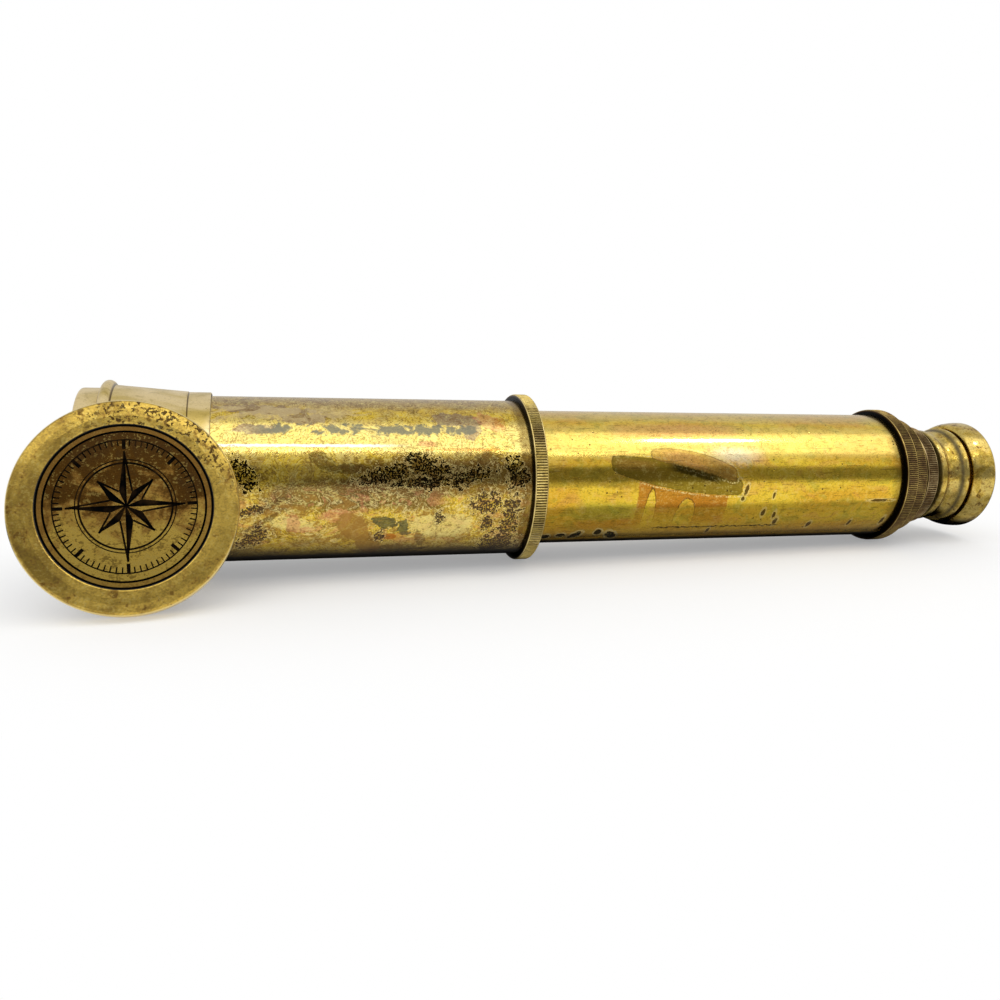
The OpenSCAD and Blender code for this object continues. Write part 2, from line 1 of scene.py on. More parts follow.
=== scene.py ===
"""Dresses a brass draw telescope and its loose lens cap: finishes, engraving, light and camera.

Sizes are in millimetres, and MM turns them into metres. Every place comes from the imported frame.
A station is the distance behind the nose's front face along the axis, and an angle goes round
the axis from the level side that faces the camera (0) up to the top (90).
"""

import json
import logging
import math
from dataclasses import dataclass
from enum import Enum
from typing import Any, Optional, Sequence, Union

import bmesh
import bpy
from mathutils import Matrix, Vector

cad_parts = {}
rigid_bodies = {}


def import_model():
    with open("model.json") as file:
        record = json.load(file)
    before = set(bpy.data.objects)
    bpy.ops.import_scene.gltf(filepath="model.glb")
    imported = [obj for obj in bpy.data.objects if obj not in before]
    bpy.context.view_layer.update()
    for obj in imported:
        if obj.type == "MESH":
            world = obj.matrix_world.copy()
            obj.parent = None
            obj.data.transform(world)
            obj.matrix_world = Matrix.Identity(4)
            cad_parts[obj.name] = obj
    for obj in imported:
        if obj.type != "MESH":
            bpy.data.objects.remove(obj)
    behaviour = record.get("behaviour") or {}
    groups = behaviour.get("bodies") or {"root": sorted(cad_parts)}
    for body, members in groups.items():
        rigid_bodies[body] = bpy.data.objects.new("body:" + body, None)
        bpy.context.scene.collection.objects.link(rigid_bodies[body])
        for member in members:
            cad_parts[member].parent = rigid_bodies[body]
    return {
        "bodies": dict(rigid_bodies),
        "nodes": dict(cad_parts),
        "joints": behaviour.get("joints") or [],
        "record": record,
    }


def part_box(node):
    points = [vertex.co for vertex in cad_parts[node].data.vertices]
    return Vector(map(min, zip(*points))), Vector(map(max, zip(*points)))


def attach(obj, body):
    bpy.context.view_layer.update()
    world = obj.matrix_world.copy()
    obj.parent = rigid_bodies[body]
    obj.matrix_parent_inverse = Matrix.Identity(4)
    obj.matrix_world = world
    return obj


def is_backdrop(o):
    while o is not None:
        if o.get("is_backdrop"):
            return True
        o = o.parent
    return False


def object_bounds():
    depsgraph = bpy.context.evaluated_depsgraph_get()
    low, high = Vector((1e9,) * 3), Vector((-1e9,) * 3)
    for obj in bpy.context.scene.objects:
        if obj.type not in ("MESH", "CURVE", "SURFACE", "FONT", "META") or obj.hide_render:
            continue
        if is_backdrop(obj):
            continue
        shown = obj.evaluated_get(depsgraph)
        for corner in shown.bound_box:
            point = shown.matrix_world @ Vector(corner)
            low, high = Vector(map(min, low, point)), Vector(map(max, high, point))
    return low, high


LOG = logging.getLogger("telescope")
MM = 0.001
FAR = 400.0  # beyond every station and angle

Colour = tuple[float, float, float]


def linear(red: int, green: int, blue: int) -> Colour:
    """Turns a colour of 0 to 255 as a screen shows it into the shader's linear one.

    Args:
        red: Red of the shown colour.
        green: Green of the shown colour.
        blue: Blue of the shown colour.

    Returns:
        The three linear values.
    """
    shown = (red / 255, green / 255, blue / 255)
    return tuple(c / 12.92 if c <= 0.04045 else ((c + 0.055) / 1.055) ** 2.4 for c in shown)


class Tone(Enum):
    """The colours of old brass, its tarnish and what is in it."""

    GOLD = linear(214, 180, 82)
    YELLOW = linear(236, 200, 62)
    AMBER = linear(222, 164, 48)
    PALE = linear(246, 228, 140)
    KHAKI = linear(206, 184, 134)
    SAND = linear(238, 214, 158)
    STRAW = linear(204, 178, 98)
    OLIVE = linear(140, 118, 40)
    MOSS = linear(150, 156, 56)
    DEEP_OLIVE = linear(112, 94, 26)
    UMBER = linear(92, 62, 22)
    BRONZE = linear(124, 98, 62)
    BROWN = linear(74, 52, 28)
    SOOT = linear(20, 14, 6)
    BLACK = linear(9, 8, 8)
    CREAM = linear(244, 222, 150)
    MAUVE = linear(150, 128, 108)
    ROSE = linear(216, 140, 100)
    APRICOT = linear(196, 146, 70)
    RUST = linear(186, 112, 34)
    TAN = linear(164, 122, 56)
    TEAL = linear(60, 72, 54)
    STONE = linear(86, 68, 46)
    ASH = linear(112, 110, 92)
    WHITE = linear(255, 255, 255)


Paint = Union[Tone, bpy.types.NodeSocket]


class Value:
    """A number that varies over a surface. Arithmetic on it adds Math nodes."""

    def __init__(self, graph: "Graph", socket: bpy.types.NodeSocket) -> None:
        """Wraps the socket that gives the number."""
        self.graph = graph
        self.socket = socket

    def __add__(self, other: "Number") -> "Value":
        """Returns the sum."""
        return self.graph.math("ADD", self, other)

    __radd__ = __add__

    def __sub__(self, other: "Number") -> "Value":
        """Returns this less the other."""
        return self.graph.math("SUBTRACT", self, other)

    def __rsub__(self, other: "Number") -> "Value":
        """Returns the other less this."""
        return self.graph.math("SUBTRACT", other, self)

    def __mul__(self, other: "Number") -> "Value":
        """Returns the product."""
        return self.graph.math("MULTIPLY", self, other)

    __rmul__ = __mul__

    def __truediv__(self, other: "Number") -> "Value":
        """Returns this over the other."""
        return self.graph.math("DIVIDE", self, other)

    def lowest(self, other: "Number") -> "Value":
        """Returns the smaller of the two."""
        return self.graph.math("MINIMUM", self, other)

    def highest(self, other: "Number") -> "Value":
        """Returns the larger of the two."""
        return self.graph.math("MAXIMUM", self, other)

    def rounded(self, other: "Number", reach: float) -> "Value":
        """Returns the smaller of the two, with the corner between them rounded over that reach.

        Args:
            other: The value it is compared with.
            reach: How wide the rounding is.

        Returns:
            The rounded value.
        """
        sockets = {0: self, 1: other, 2: reach}
        node = self.graph.node("ShaderNodeMath", {"operation": "SMOOTH_MIN"}, sockets)
        return Value(self.graph, node.outputs[0])

    def size(self) -> "Value":
        """Returns the value without its sign."""
        return self.graph.math("ABSOLUTE", self, 0.0)

    def root(self) -> "Value":
        """Returns the square root."""
        return self.graph.math("SQRT", self, 0.0)

    def rise(self, low: float, high: float) -> "Value":
        """Returns a smooth step.

        Args:
            low: Where the step starts, at 0.
            high: Where the step ends, at 1.

        Returns:
            The step.
        """
        node = self.graph.node(
            "ShaderNodeMapRange",
            {"interpolation_type": "SMOOTHSTEP"},
            {"Value": self, "From Min": low, "From Max": high},
        )
        return Value(self.graph, node.outputs["Result"])

    def fall(self, low: float, high: float) -> "Value":
        """Returns a smooth step down, which is 1 up to low and 0 from high on."""
        return 1 - self.rise(low, high)

    def window(self, low: float, high: float, soft: float) -> "Value":
        """Returns a mask that is 1 between two values, with edges that reach soft to either side."""
        return self.rise(low - soft, low + soft) * self.fall(high - soft, high + soft)


Number = Union[Value, float]


class Graph:
    """The nodes of one material or world."""

    def __init__(self, owner: Union[bpy.types.Material, bpy.types.World]) -> None:
        """Takes the owner's node tree and empties it.

        Args:
            owner: The material or world whose nodes these are.
        """
        owner.use_nodes = True
        self.tree = owner.node_tree
        self.tree.nodes.clear()

    def node(
        self,
        kind: str,
        settings: Optional[dict[str, Any]] = None,
        sockets: Optional[dict[Union[str, int], Any]] = None,
    ) -> bpy.types.Node:
        """Adds one node.

        Args:
            kind: Blender's type of the node.
            settings: Its own settings, which are set first.
            sockets: Values or links of its sockets.

        Returns:
            The node.
        """
        node = self.tree.nodes.new(kind)
        for name, value in (settings or {}).items():
            setattr(node, name, value)
        for key, value in (sockets or {}).items():
            socket = node.inputs[key]
            if isinstance(value, Value):
                self.tree.links.new(value.socket, socket)
            elif isinstance(value, bpy.types.NodeSocket):
                self.tree.links.new(value, socket)
            elif isinstance(value, Tone):
                socket.default_value = (*value.value, 1.0)
            else:
                socket.default_value = value
        return node

    def math(self, operation: str, first: Number, second: Number) -> Value:
        """Returns the result of one Math node."""
        node = self.node("ShaderNodeMath", {"operation": operation}, {0: first, 1: second})
        return Value(self, node.outputs[0])

    def vector(self, operation: str, first: Any, second: Any) -> bpy.types.NodeSocket:
        """Returns the vector that one Vector Math node gives."""
        node = self.node("ShaderNodeVectorMath", {"operation": operation}, {0: first, 1: second})
        return node.outputs["Vector"]

    def dot(self, first: Any, second: Any) -> Value:
        """Returns the dot product of two vectors.

        Args:
            first: One vector.
            second: The other vector.

        Returns:
            Their dot product.
        """
        settings = {"operation": "DOT_PRODUCT"}
        node = self.node("ShaderNodeVectorMath", settings, {0: first, 1: second})
        return Value(self, node.outputs["Value"])

    def mix(self, mask: Number, under: Paint, over: Paint) -> bpy.types.NodeSocket:
        """Returns one colour laid over another where the mask is."""
        node = self.node("ShaderNodeMix", {"data_type": "RGBA"}, {0: mask, 6: under, 7: over})
        return node.outputs[2]

    def blend(self, mask: Value, under: Any, over: Any) -> bpy.types.NodeSocket:
        """Returns one shader laid over another where the mask is."""
        return self.node("ShaderNodeMixShader", {}, {0: mask, 1: under, 2: over}).outputs[0]

    def glow(self, strength: float) -> bpy.types.NodeSocket:
        """Returns plain white light of that strength."""
        sockets = {"Color": Tone.WHITE, "Strength": strength}
        return self.node("ShaderNodeEmission", {}, sockets).outputs[0]

    def rays(self, *kinds: str) -> Value:
        """Returns 1 for rays of any of these kinds, such as Glossy.

        Args:
            kinds: Names of the kinds of ray.

        Returns:
            The mask.
        """
        path = self.node("ShaderNodeLightPath").outputs
        mask = Value(self, path[f"Is {kinds[0]} Ray"])
        for kind in kinds[1:]:
            mask = mask.highest(Value(self, path[f"Is {kind} Ray"]))
        return mask

    def end(self, shader: bpy.types.NodeSocket, owner: str = "Material") -> None:
        """Gives the finished shader to the material or the world."""
        self.node(f"ShaderNodeOutput{owner}", {}, {"Surface": shader})

    def noise(
        self, place: bpy.types.NodeSocket, grain: float, detail: float, twist: float = 0.0
    ) -> Value:
        """Returns cloudy noise from about 0.25 to 0.75, drawn into swirls by the twist."""
        sockets = {"Vector": place, "Scale": 1 / grain, "Detail": detail, "Distortion": twist}
        return Value(self, self.node("ShaderNodeTexNoise", {}, sockets).outputs[0])

    def cells(self, place: bpy.types.NodeSocket, grain: float) -> Value:
        """Returns the distance to the nearest of scattered points, in shares of the grain."""
        sockets = {"Vector": place, "Scale": 1 / grain}
        return Value(self, self.node("ShaderNodeTexVoronoi", {}, sockets).outputs["Distance"])


@dataclass(frozen=True)
class Spindle:
    """The axis that pieces are turned about."""

    origin: Vector
    way: Vector
    up: Vector
    side: Vector

    def point(self, station: float, across: float = 0.0, rise: float = 0.0) -> Vector:
        """Returns a place in metres from millimetres along the axis, to the side and up."""
        return self.origin + (self.way * station + self.side * across + self.up * rise) * MM


@dataclass(frozen=True)
class Blotch:
    """A patch of tarnish on a tube: its middle, its half sizes and its lean in degrees a millimetre."""

    station: float
    angle: float
    half_length: float
    half_angle: float
    lean: float = 0.0


@dataclass(frozen=True)
class Stripe:
    """A soft stripe of one tint, between two angles and two stations, each with a soft edge."""

    tone: Tone
    share: float
    angles: tuple[float, float, float]
    stations: tuple[float, float, float] = (-FAR, FAR, 1.0)
    roughness: Optional[float] = None


@dataclass(frozen=True)
class Tongue:
    """A tongue of tarnish between two curved edges.

    Each edge has its angle at the start, its slope in degrees a millimetre and its bend.
    """

    start: float
    end: float
    low: tuple[float, float, float]
    high: tuple[float, float, float]


class Surface:
    """Where a point of a turned piece lies, as values that the finishes are worked out from."""

    def __init__(self, graph: Graph, spindle: Spindle) -> None:
        """Adds the nodes for a spindle's place, station, radius and angle.

        Args:
            graph: The material's nodes.
            spindle: The axis that the piece is turned about.
        """
        self.graph = graph
        coords = graph.node("ShaderNodeTexCoord").outputs["Object"]
        offset = graph.vector("SUBTRACT", coords, spindle.origin)
        self.place = graph.vector("MULTIPLY", offset, Vector((1, 1, 1)) / MM)
        self.station = graph.dot(self.place, spindle.way)
        across = graph.dot(self.place, spindle.side)
        rise = graph.dot(self.place, spindle.up)
        self.radius = (across * across + rise * rise).root()
        self.angle = graph.math("ARCTAN2", rise, across) * (180 / math.pi)
        self.height = rise / self.radius.highest(MM)

    def noise(self, grain: float, detail: float, twist: float = 0.0, stretch: float = 1.0) -> Value:
        """Returns cloudy noise on the piece, drawn out along the telescope by the stretch.

        Args:
            grain: Size of its clouds in millimetres.
            detail: How many finer levels it has.
            twist: How far the clouds are drawn into swirls.
            stretch: How much longer they are along the telescope.

        Returns:
            The noise.
        """
        place = self.place
        if stretch != 1:
            place = self.graph.vector("MULTIPLY", place, Vector((1 / stretch, 1, 1)))
        return self.graph.noise(place, grain, detail, twist)

    def above(self, start: float, edge: tuple[float, float, float]) -> Value:
        """Returns how far the angle is above a curved edge, in degrees."""
        run = self.station - start
        return self.angle - (run * (run * edge[2] + edge[1]) + edge[0])

    def depth(self, tongue: Tongue, corner: float = 9.0) -> Value:
        """Returns how deep a point is inside a tongue, in degrees, which is 0 on its outline.

        Args:
            tongue: The tongue of tarnish.
            corner: How far its corners are rounded, in degrees.

        Returns:
            The depth.
        """
        low = self.above(tongue.start, tongue.low)
        high = 0 - self.above(tongue.start, tongue.high)
        left = (self.station - tongue.start) * 3
        right = (tongue.end - self.station) * 3
        return low.rounded(high, corner).rounded(left.rounded(right, corner), corner)

    def nearest(self, blotches: Sequence[Blotch]) -> Value:
        """Returns the distance to the nearest patch, which is 1 on its outline.

        Args:
            blotches: The patches.

        Returns:
            The distance in shares of each patch's half size.
        """
        least: Optional[Value] = None
        for blotch in blotches:
            run = self.station - blotch.station
            turn = self.angle - blotch.angle
            if blotch.lean:
                turn = turn - run * blotch.lean
            run = run / blotch.half_length
            turn = turn / blotch.half_angle
            reach = (run * run + turn * turn).root()
            least = reach if least is None else least.lowest(reach)
        return least


class Layers:
    """The colour, roughness, metal and height of a surface, built up from the bare metal."""

    def __init__(self, graph: Graph, colour: Paint, roughness: float, metal: float = 1.0) -> None:
        """Starts with bare metal.

        Args:
            graph: The material's nodes.
            colour: Colour of the bare metal.
            roughness: Its roughness.
            metal: How metallic it is.
        """
        self.graph = graph
        self.colour = colour
        self.roughness: Number = roughness
        self.metal: Number = metal
        self.height: Optional[Value] = None

    def lay(
        self,
        mask: Value,
        colour: Optional[Paint] = None,
        roughness: Optional[float] = None,
        metal: Optional[float] = None,
        height: float = 0.0,
    ) -> None:
        """Lays one more layer where the mask is.

        Args:
            mask: Where the layer is.
            colour: Its colour, if it has one.
            roughness: Its roughness, if it changes that.
            metal: How metallic it is, if it changes that.
            height: How far it stands up, in millimetres.
        """
        if colour is not None:
            self.colour = self.graph.mix(mask, self.colour, colour)
        if roughness is not None:
            self.roughness = self.roughness + mask * (roughness - self.roughness)
        if metal is not None:
            self.metal = self.metal + mask * (metal - self.metal)
        if height:
            raised = mask * height
            self.height = raised if self.height is None else self.height + raised

    def stripes(self, surface: "Surface", angle: Value, stripes: Sequence[Stripe]) -> None:
        """Lays soft stripes along a tube.

        Args:
            surface: Where they are.
            angle: The angle, bent and frayed as their edges are.
            stripes: The stripes, lowest first.
        """
        for stripe in stripes:
            mask = angle.window(*stripe.angles) * surface.station.window(*stripe.stations)
            self.lay(mask * stripe.share, stripe.tone, roughness=stripe.roughness)

    def finish(self, extra: Optional[dict[str, Any]] = None) -> None:
        """Ends the material.

        Args:
            extra: Constant values of other sockets of the shader.
        """
        sockets = {"Base Color": self.colour, "Roughness": self.roughness, "Metallic": self.metal}
        if self.height is not None:
            bump = self.graph.node("ShaderNodeBump", {}, {"Distance": MM, "Height": self.height})
            sockets["Normal"] = bump.outputs["Normal"]
        shader = self.graph.node("ShaderNodeBsdfPrincipled", {}, {**sockets, **(extra or {})})
        self.graph.end(shader.outputs[0])


@dataclass(frozen=True)
class Finish:
    """A finish of turned brass: bare metal that each kind of piece covers with its own layers."""

    name: str
    spindle: Spindle
    outside: float

    def bare(self, graph: Graph, surface: Surface) -> Layers:
        """Returns the layers of the bare metal."""
        return Layers(graph, Tone.GOLD, 0.3)

    def cover(self, surface: Surface, layers: Layers) -> None:
        """Adds the layers that this finish has."""

    def grain(self, surface: Surface, layers: Layers, dark: Tone, pale: Tone, share: float) -> None:
        """Roughens the colour with crisp fine grains, some darker and some paler.

        Args:
            surface: Where they are.
            layers: The layers to add to.
            dark: Colour of the darker grains.
            pale: Colour of the paler grains.
            share: How strongly they show.
        """
        fine = surface.noise(0.5, 3.0, stretch=1.3)
        coarse = surface.noise(2.0, 4.0)
        worn = fine * 0.55 + coarse * 0.45
        layers.lay(worn.rise(0.51, 0.56) * share, dark, height=-0.012)
        layers.lay(worn.rise(0.56, 0.6) * share, Tone.BROWN)
        layers.lay(worn.fall(0.41, 0.46) * share, pale)

    def pits(self, surface: Surface, grain: float, share: float) -> Value:
        """Returns scattered round pits.

        Args:
            surface: Where they are.
            grain: Distance between them in millimetres.
            share: Size of a pit as a share of the grain.

        Returns:
            Their mask.
        """
        graph = surface.graph
        spread = surface.noise(grain * 6, 2.0).rise(0.42, 0.62)
        return graph.cells(surface.place, grain).fall(share * 0.4, share) * spread

    def inside(self, surface: Surface, layers: Layers) -> None:
        """Paints the bore matt black, below the outside by half a millimetre or more.

        Args:
            surface: Where the points of the piece lie.
            layers: The layers to add to.
        """
        depth = 0.45
        mask = surface.radius.fall(self.outside - depth, self.outside - depth / 2)
        layers.lay(mask, Tone.BLACK, roughness=0.75, metal=0.0)

    def material(self) -> bpy.types.Material:
        """Returns the finished material.

        Returns:
            The material.
        """
        material = bpy.data.materials.new(self.name)
        graph = Graph(material)
        surface = Surface(graph, self.spindle)
        layers = self.bare(graph, surface)
        self.cover(surface, layers)
        layers.finish()
        return material


@dataclass(frozen=True)
class Patch:
    """Blotches of one tint, how strongly it shows and how far its edges fray."""

    tone: Tone
    share: float
    fray: float
    blotches: tuple[Blotch, ...]


@dataclass(frozen=True)
class BarrelBrass(Finish):
    """The barrel's heat-tinted brass with speckled black and brown tarnish, and painted bands of
    highlight, reflection and shade.
    """

    # Bands round the axis are painted light: painted highlight (pale), painted grey reflection along the
    # top (mauve), painted dark reflection below the highlight (olive, umber) and painted shade across the
    # level front (stone).
    stripes: tuple[Stripe, ...] = (
        Stripe(Tone.PALE, 0.6, (27, 52, 4)),
        Stripe(Tone.MAUVE, 0.6, (67, FAR, 5), roughness=0.34),
        Stripe(Tone.OLIVE, 0.2, (4, 27, 3), (-FAR, 81, 11)),
        Stripe(Tone.UMBER, 0.75, (-2, 22, 3), (75, FAR, 9)),
        Stripe(Tone.STONE, 0.8, (-13, 8, 4), (50, 102, 5)),
    )
    contours: tuple[float, ...] = (0.4, 0.48, 0.56)
    patches: tuple[Patch, ...] = (
        Patch(Tone.PALE, 0.55, 1.2, (Blotch(102, -27, 11, 12), Blotch(58, -22, 7, 6, -0.4))),
        Patch(Tone.MAUVE, 0.75, 1.6, (
            Blotch(52, 63, 16, 6, -0.2), Blotch(62, 54, 8, 6), Blotch(49, 44, 8, 4),
            Blotch(106, 54, 6, 7), Blotch(112, 48, 3, 12),
        )),
        Patch(Tone.BROWN, 0.6, 1.4, (
            Blotch(67, 21, 4.5, 6, -1.0), Blotch(74, 16, 7, 4), Blotch(116, 22, 5, 6),
            Blotch(89, -50, 9, 7), Blotch(96, -38, 2, 8, -2.0), Blotch(51, -9, 6, 3, 1.2),
            Blotch(50, -20, 5, 2.5, 1.4),
        )),
        Patch(Tone.ROSE, 0.5, 1.4, (
            Blotch(118, 52, 5, 8, -1.2), Blotch(97.5, 33, 3, 2.5), Blotch(71, -16, 4.2, 5),
            Blotch(58.5, -22, 2, 8), Blotch(62, -27, 2, 3),
        )),
        Patch(Tone.RUST, 0.5, 0.9, (Blotch(121, 52, 2, 5), Blotch(108, 29, 14, 1.2))),
    )
    plates: tuple[Patch, ...] = (
        Patch(Tone.TAN, 0.75, 0.25, (Blotch(75.6, -26, 5, 12, -0.9), Blotch(80.5, -43, 4.2, 13, -1.2))),
        Patch(Tone.TEAL, 0.75, 2.6, (Blotch(84.5, -23, 3.6, 5, -0.4), Blotch(90.5, -28, 2.6, 7, -1.0))),
        Patch(Tone.RUST, 0.8, 0.5, (Blotch(86.8, -35, 2.2, 3.5),)),
    )
    soot: tuple[Blotch, ...] = (
        Blotch(44.5, 12, 5, 9, -1.6), Blotch(96, 18, 5, 8, -0.6), Blotch(86, 12, 9, 6, 0.4),
        Blotch(95, 6, 9, 3.5), Blotch(108, 9, 9, 6, 0.5), Blotch(101, 14, 4, 5),
        Blotch(124.5, 13, 3.4, 10, -1.0),
    )
    stone: tuple[Blotch, ...] = (
        Blotch(47, -34, 4.6, 8, 0.9), Blotch(47, -11, 4.5, 3.5, 0.8), Blotch(115.5, -8, 4.2, 7.5),
        Blotch(116.2, -24, 2.4, 7.5), Blotch(123, -18, 3, 13, 1.2), Blotch(122.8, -30, 3.2, 12),
        Blotch(120.6, -46, 6.0, 13), Blotch(101, -19, 1.3, 5), Blotch(83.5, -35, 2, 5),
    )

    def bare(self, graph: Graph, surface: Surface) -> Layers:
        """Returns gold and yellow with olive clouds.

        Args:
            graph: The material's nodes.
            surface: Where the points of the piece lie.

        Returns:
            The layers of the bare metal.
        """
        clouds = surface.noise(9.0, 5.0, 0.8)
        colour = graph.mix(clouds.rise(0.4, 0.6), Tone.GOLD, Tone.YELLOW)
        colour = graph.mix(clouds.fall(0.34, 0.46) * 0.6, colour, Tone.OLIVE)
        return Layers(graph, colour, 0.17)

    def cover(self, surface: Surface, layers: Layers) -> None:
        """Adds the bands of painted highlight, reflection and shade, the swirls, patches and specks, and
        the painted shade of the underside.

        Args:
            surface: Where the points of the piece lie.
            layers: The layers to add to.
        """
        drift = surface.noise(11.0, 4.0, 0.8, stretch=1.8) - 0.5
        ragged = surface.noise(1.6, 5.0) - 0.5
        angle = surface.angle + drift * 22 + ragged * 8

        # The stripes paint highlight, reflection and shade in bands round the axis.
        layers.stripes(surface, angle, self.stripes)

        swirl = surface.noise(7.0, 3.0, 2.2, stretch=1.6)
        contour = surface.noise(7.0, 4.0, 1.6)
        for level in self.contours:
            layers.lay(contour.window(level, level + 0.018, 0.01) * 0.6, Tone.UMBER)
            layers.lay(contour.window(level + 0.028, level + 0.04, 0.01) * 0.55, Tone.CREAM)
        low = angle.window(-40, 1, 6)
        layers.lay(swirl.window(0.52, 0.535, 0.01) * low * 0.8, Tone.CREAM)
        layers.lay(swirl.window(0.47, 0.48, 0.01) * low * 0.5, Tone.UMBER)
        layers.lay(swirl.rise(0.54, 0.6) * low * 0.7, Tone.TAN)
        layers.lay(swirl.fall(0.4, 0.46) * low * 0.4, Tone.ROSE)

        self.tint(surface, layers, self.patches, ragged, drift)
        self.grain(surface, layers, Tone.TAN, Tone.PALE, 0.35)
        self.tint(surface, layers, self.plates, ragged, drift)
        # Painted reflection: a grey band between two highlights, broken up by the swirls.
        gap = (surface.angle + ragged * 14).window(40.5, 48, 1.5) * swirl.rise(0.38, 0.48)
        layers.lay(gap * surface.station.window(48, 116, 5) * 0.9, Tone.ASH)
        # Painted pale reflection on the upper left of the barrel.
        clear = angle.window(52, 66, 5) * surface.station.fall(70, 92)
        layers.lay(clear * swirl.fall(0.5, 0.56) * 0.5, Tone.SAND)
        # Painted highlight: a thin white streak along the front half of the barrel.
        streak = (surface.angle + ragged * 2).window(30.8, 32.6, 0.5)
        layers.lay(streak * surface.station.fall(78, 94) * 0.6, Tone.WHITE)
        # Painted reflection of the collar, brown at the barrel's rear end.
        layers.lay(surface.station.rise(125.5, 127.5) * 0.6, Tone.UMBER)
        # Painted shade low on the front side.
        layers.lay(angle.fall(-40, -28) * 0.35, Tone.UMBER)

        self.crust(surface, layers, self.stone, Tone.STONE, ragged, drift)
        self.crust(surface, layers, self.soot, Tone.SOOT, ragged, drift)
        back = surface.noise(15.0, 5.0, 1.0, stretch=1.5).rise(0.6, 0.64)
        away = surface.angle.size().rise(85, 110)
        layers.lay(back * away * 0.85, Tone.SOOT, roughness=0.45, metal=0.5)

        # Painted shade on the underside, darkest at the bottom.
        layers.lay(angle.fall(-60, -44) * 0.65, Tone.SOOT, roughness=0.34)
        layers.lay(surface.height.fall(-0.87, -0.75), Tone.SOOT, roughness=0.5, metal=0.2)
        self.inside(surface, layers)

    def tint(
        self, surface: Surface, layers: Layers, patches: Sequence[Patch], ragged: Value, drift: Value
    ) -> None:
        """Adds patches of other tints.

        Args:
            surface: Where they are.
            layers: The layers to add to.
            patches: The patches, lowest first.
            ragged: Fine noise about 0 that frays their edges.
            drift: Coarse noise about 0 that bends them.
        """
        for patch in patches:
            edge = surface.nearest(patch.blotches) + ragged * patch.fray + drift * (patch.fray * 0.6)
            layers.lay(edge.fall(0.85, 1.03) * patch.share, patch.tone)

    def crust(
        self,
        surface: Surface,
        layers: Layers,
        blotches: Sequence[Blotch],
        tone: Tone,
        ragged: Value,
        drift: Value,
    ) -> None:
        """Adds ragged crusts with a cream outline and pale grains that show through.

        Args:
            surface: Where they are.
            layers: The layers to add to.
            blotches: Their rough places.
            tone: Their colour.
            ragged: Fine noise about 0 that frays their edges.
            drift: Coarse noise about 0 that bends them.
        """
        fine = surface.noise(0.5, 2.0)
        edge = surface.nearest(blotches) + ragged * 3.0 + drift * 0.8 + (fine - 0.5) * 1.3
        layers.lay(edge.window(1.0, 1.18, 0.05) * 0.45, Tone.CREAM, roughness=0.3)
        layers.lay(edge.window(1.24, 1.5, 0.1) * 0.5, Tone.UMBER)
        grains = fine.rise(0.5, 0.58)
        body = edge.fall(0.9, 0.98)
        layers.lay(body * (1 - grains * 0.8), tone, roughness=0.42, height=0.03)


@dataclass(frozen=True)
class DrawBrass(Finish):
    """The draws' polished yellow brass, with pits, specks, fine scratches, painted bands of light and
    shade, and painted shade behind the collar.
    """

    # Stations where the tube shows behind the collar before it, painted black as shade.
    collar_shade: tuple[float, float] = (0.0, 0.0)
    # Bands round the axis are painted light: painted highlight (pale), painted grey reflection along the
    # top (khaki) and painted shade towards the bottom (amber, umber).
    stripes: tuple[Stripe, ...] = (
        Stripe(Tone.PALE, 0.4, (26, 58, 5)),
        Stripe(Tone.KHAKI, 0.5, (65, FAR, 7), roughness=0.28),
        Stripe(Tone.AMBER, 0.5, (-FAR, -39, 7)),
        Stripe(Tone.UMBER, 0.4, (-FAR, -57, 5)),
    )

    def bare(self, graph: Graph, surface: Surface) -> Layers:
        """Returns yellow that clouds over into amber, green and rose.

        Args:
            graph: The material's nodes.
            surface: Where the points of the piece lie.

        Returns:
            The layers of the bare metal.
        """
        clouds = surface.noise(12.0, 4.0, 0.4, stretch=2.5)
        colour = graph.mix(clouds.rise(0.4, 0.64) * 0.7, Tone.YELLOW, Tone.AMBER)
        green = surface.noise(5.0, 4.0, 1.0, stretch=1.6)
        colour = graph.mix(green.fall(0.38, 0.46) * 0.35, colour, Tone.MOSS)
        colour = graph.mix(green.rise(0.56, 0.64) * 0.2, colour, Tone.ROSE)
        return Layers(graph, colour, 0.17)

    def cover(self, surface: Surface, layers: Layers) -> None:
        """Adds the tints and painted bands of light and shade, the grains, the scratches, the pits, the
        painted shade underneath and behind the collar, and the bore.

        Args:
            surface: Where the points of the piece lie.
            layers: The layers to add to.
        """
        drift = surface.noise(8.0, 4.0, 0.4, stretch=3.0) - 0.5
        layers.stripes(surface, surface.angle + drift * 10, self.stripes)
        self.patina(surface, layers, drift)
        self.grain(surface, layers, Tone.OLIVE, Tone.PALE, 0.2)
        scratches = surface.noise(0.5, 2.0, stretch=14.0).rise(0.62, 0.68)
        layers.lay(scratches * 0.4, Tone.UMBER, height=-0.01)
        pits = self.pits(surface, 2.6, 0.15)
        layers.lay(pits * 0.9, Tone.BROWN, roughness=0.5, height=-0.06)
        # Painted shade on the underside.
        layers.lay(surface.height.fall(-0.9, -0.78), Tone.SOOT, roughness=0.5, metal=0.2)
        # Painted shade: black where the tube shows behind the collar.
        collar_shade = surface.station.window(*self.collar_shade, 0.2)
        layers.lay(collar_shade, Tone.BLACK, roughness=0.7, metal=0.0)
        self.inside(surface, layers)

    def patina(self, surface: Surface, layers: Layers, drift: Value) -> None:
        """Adds tarnish that only some draws have."""


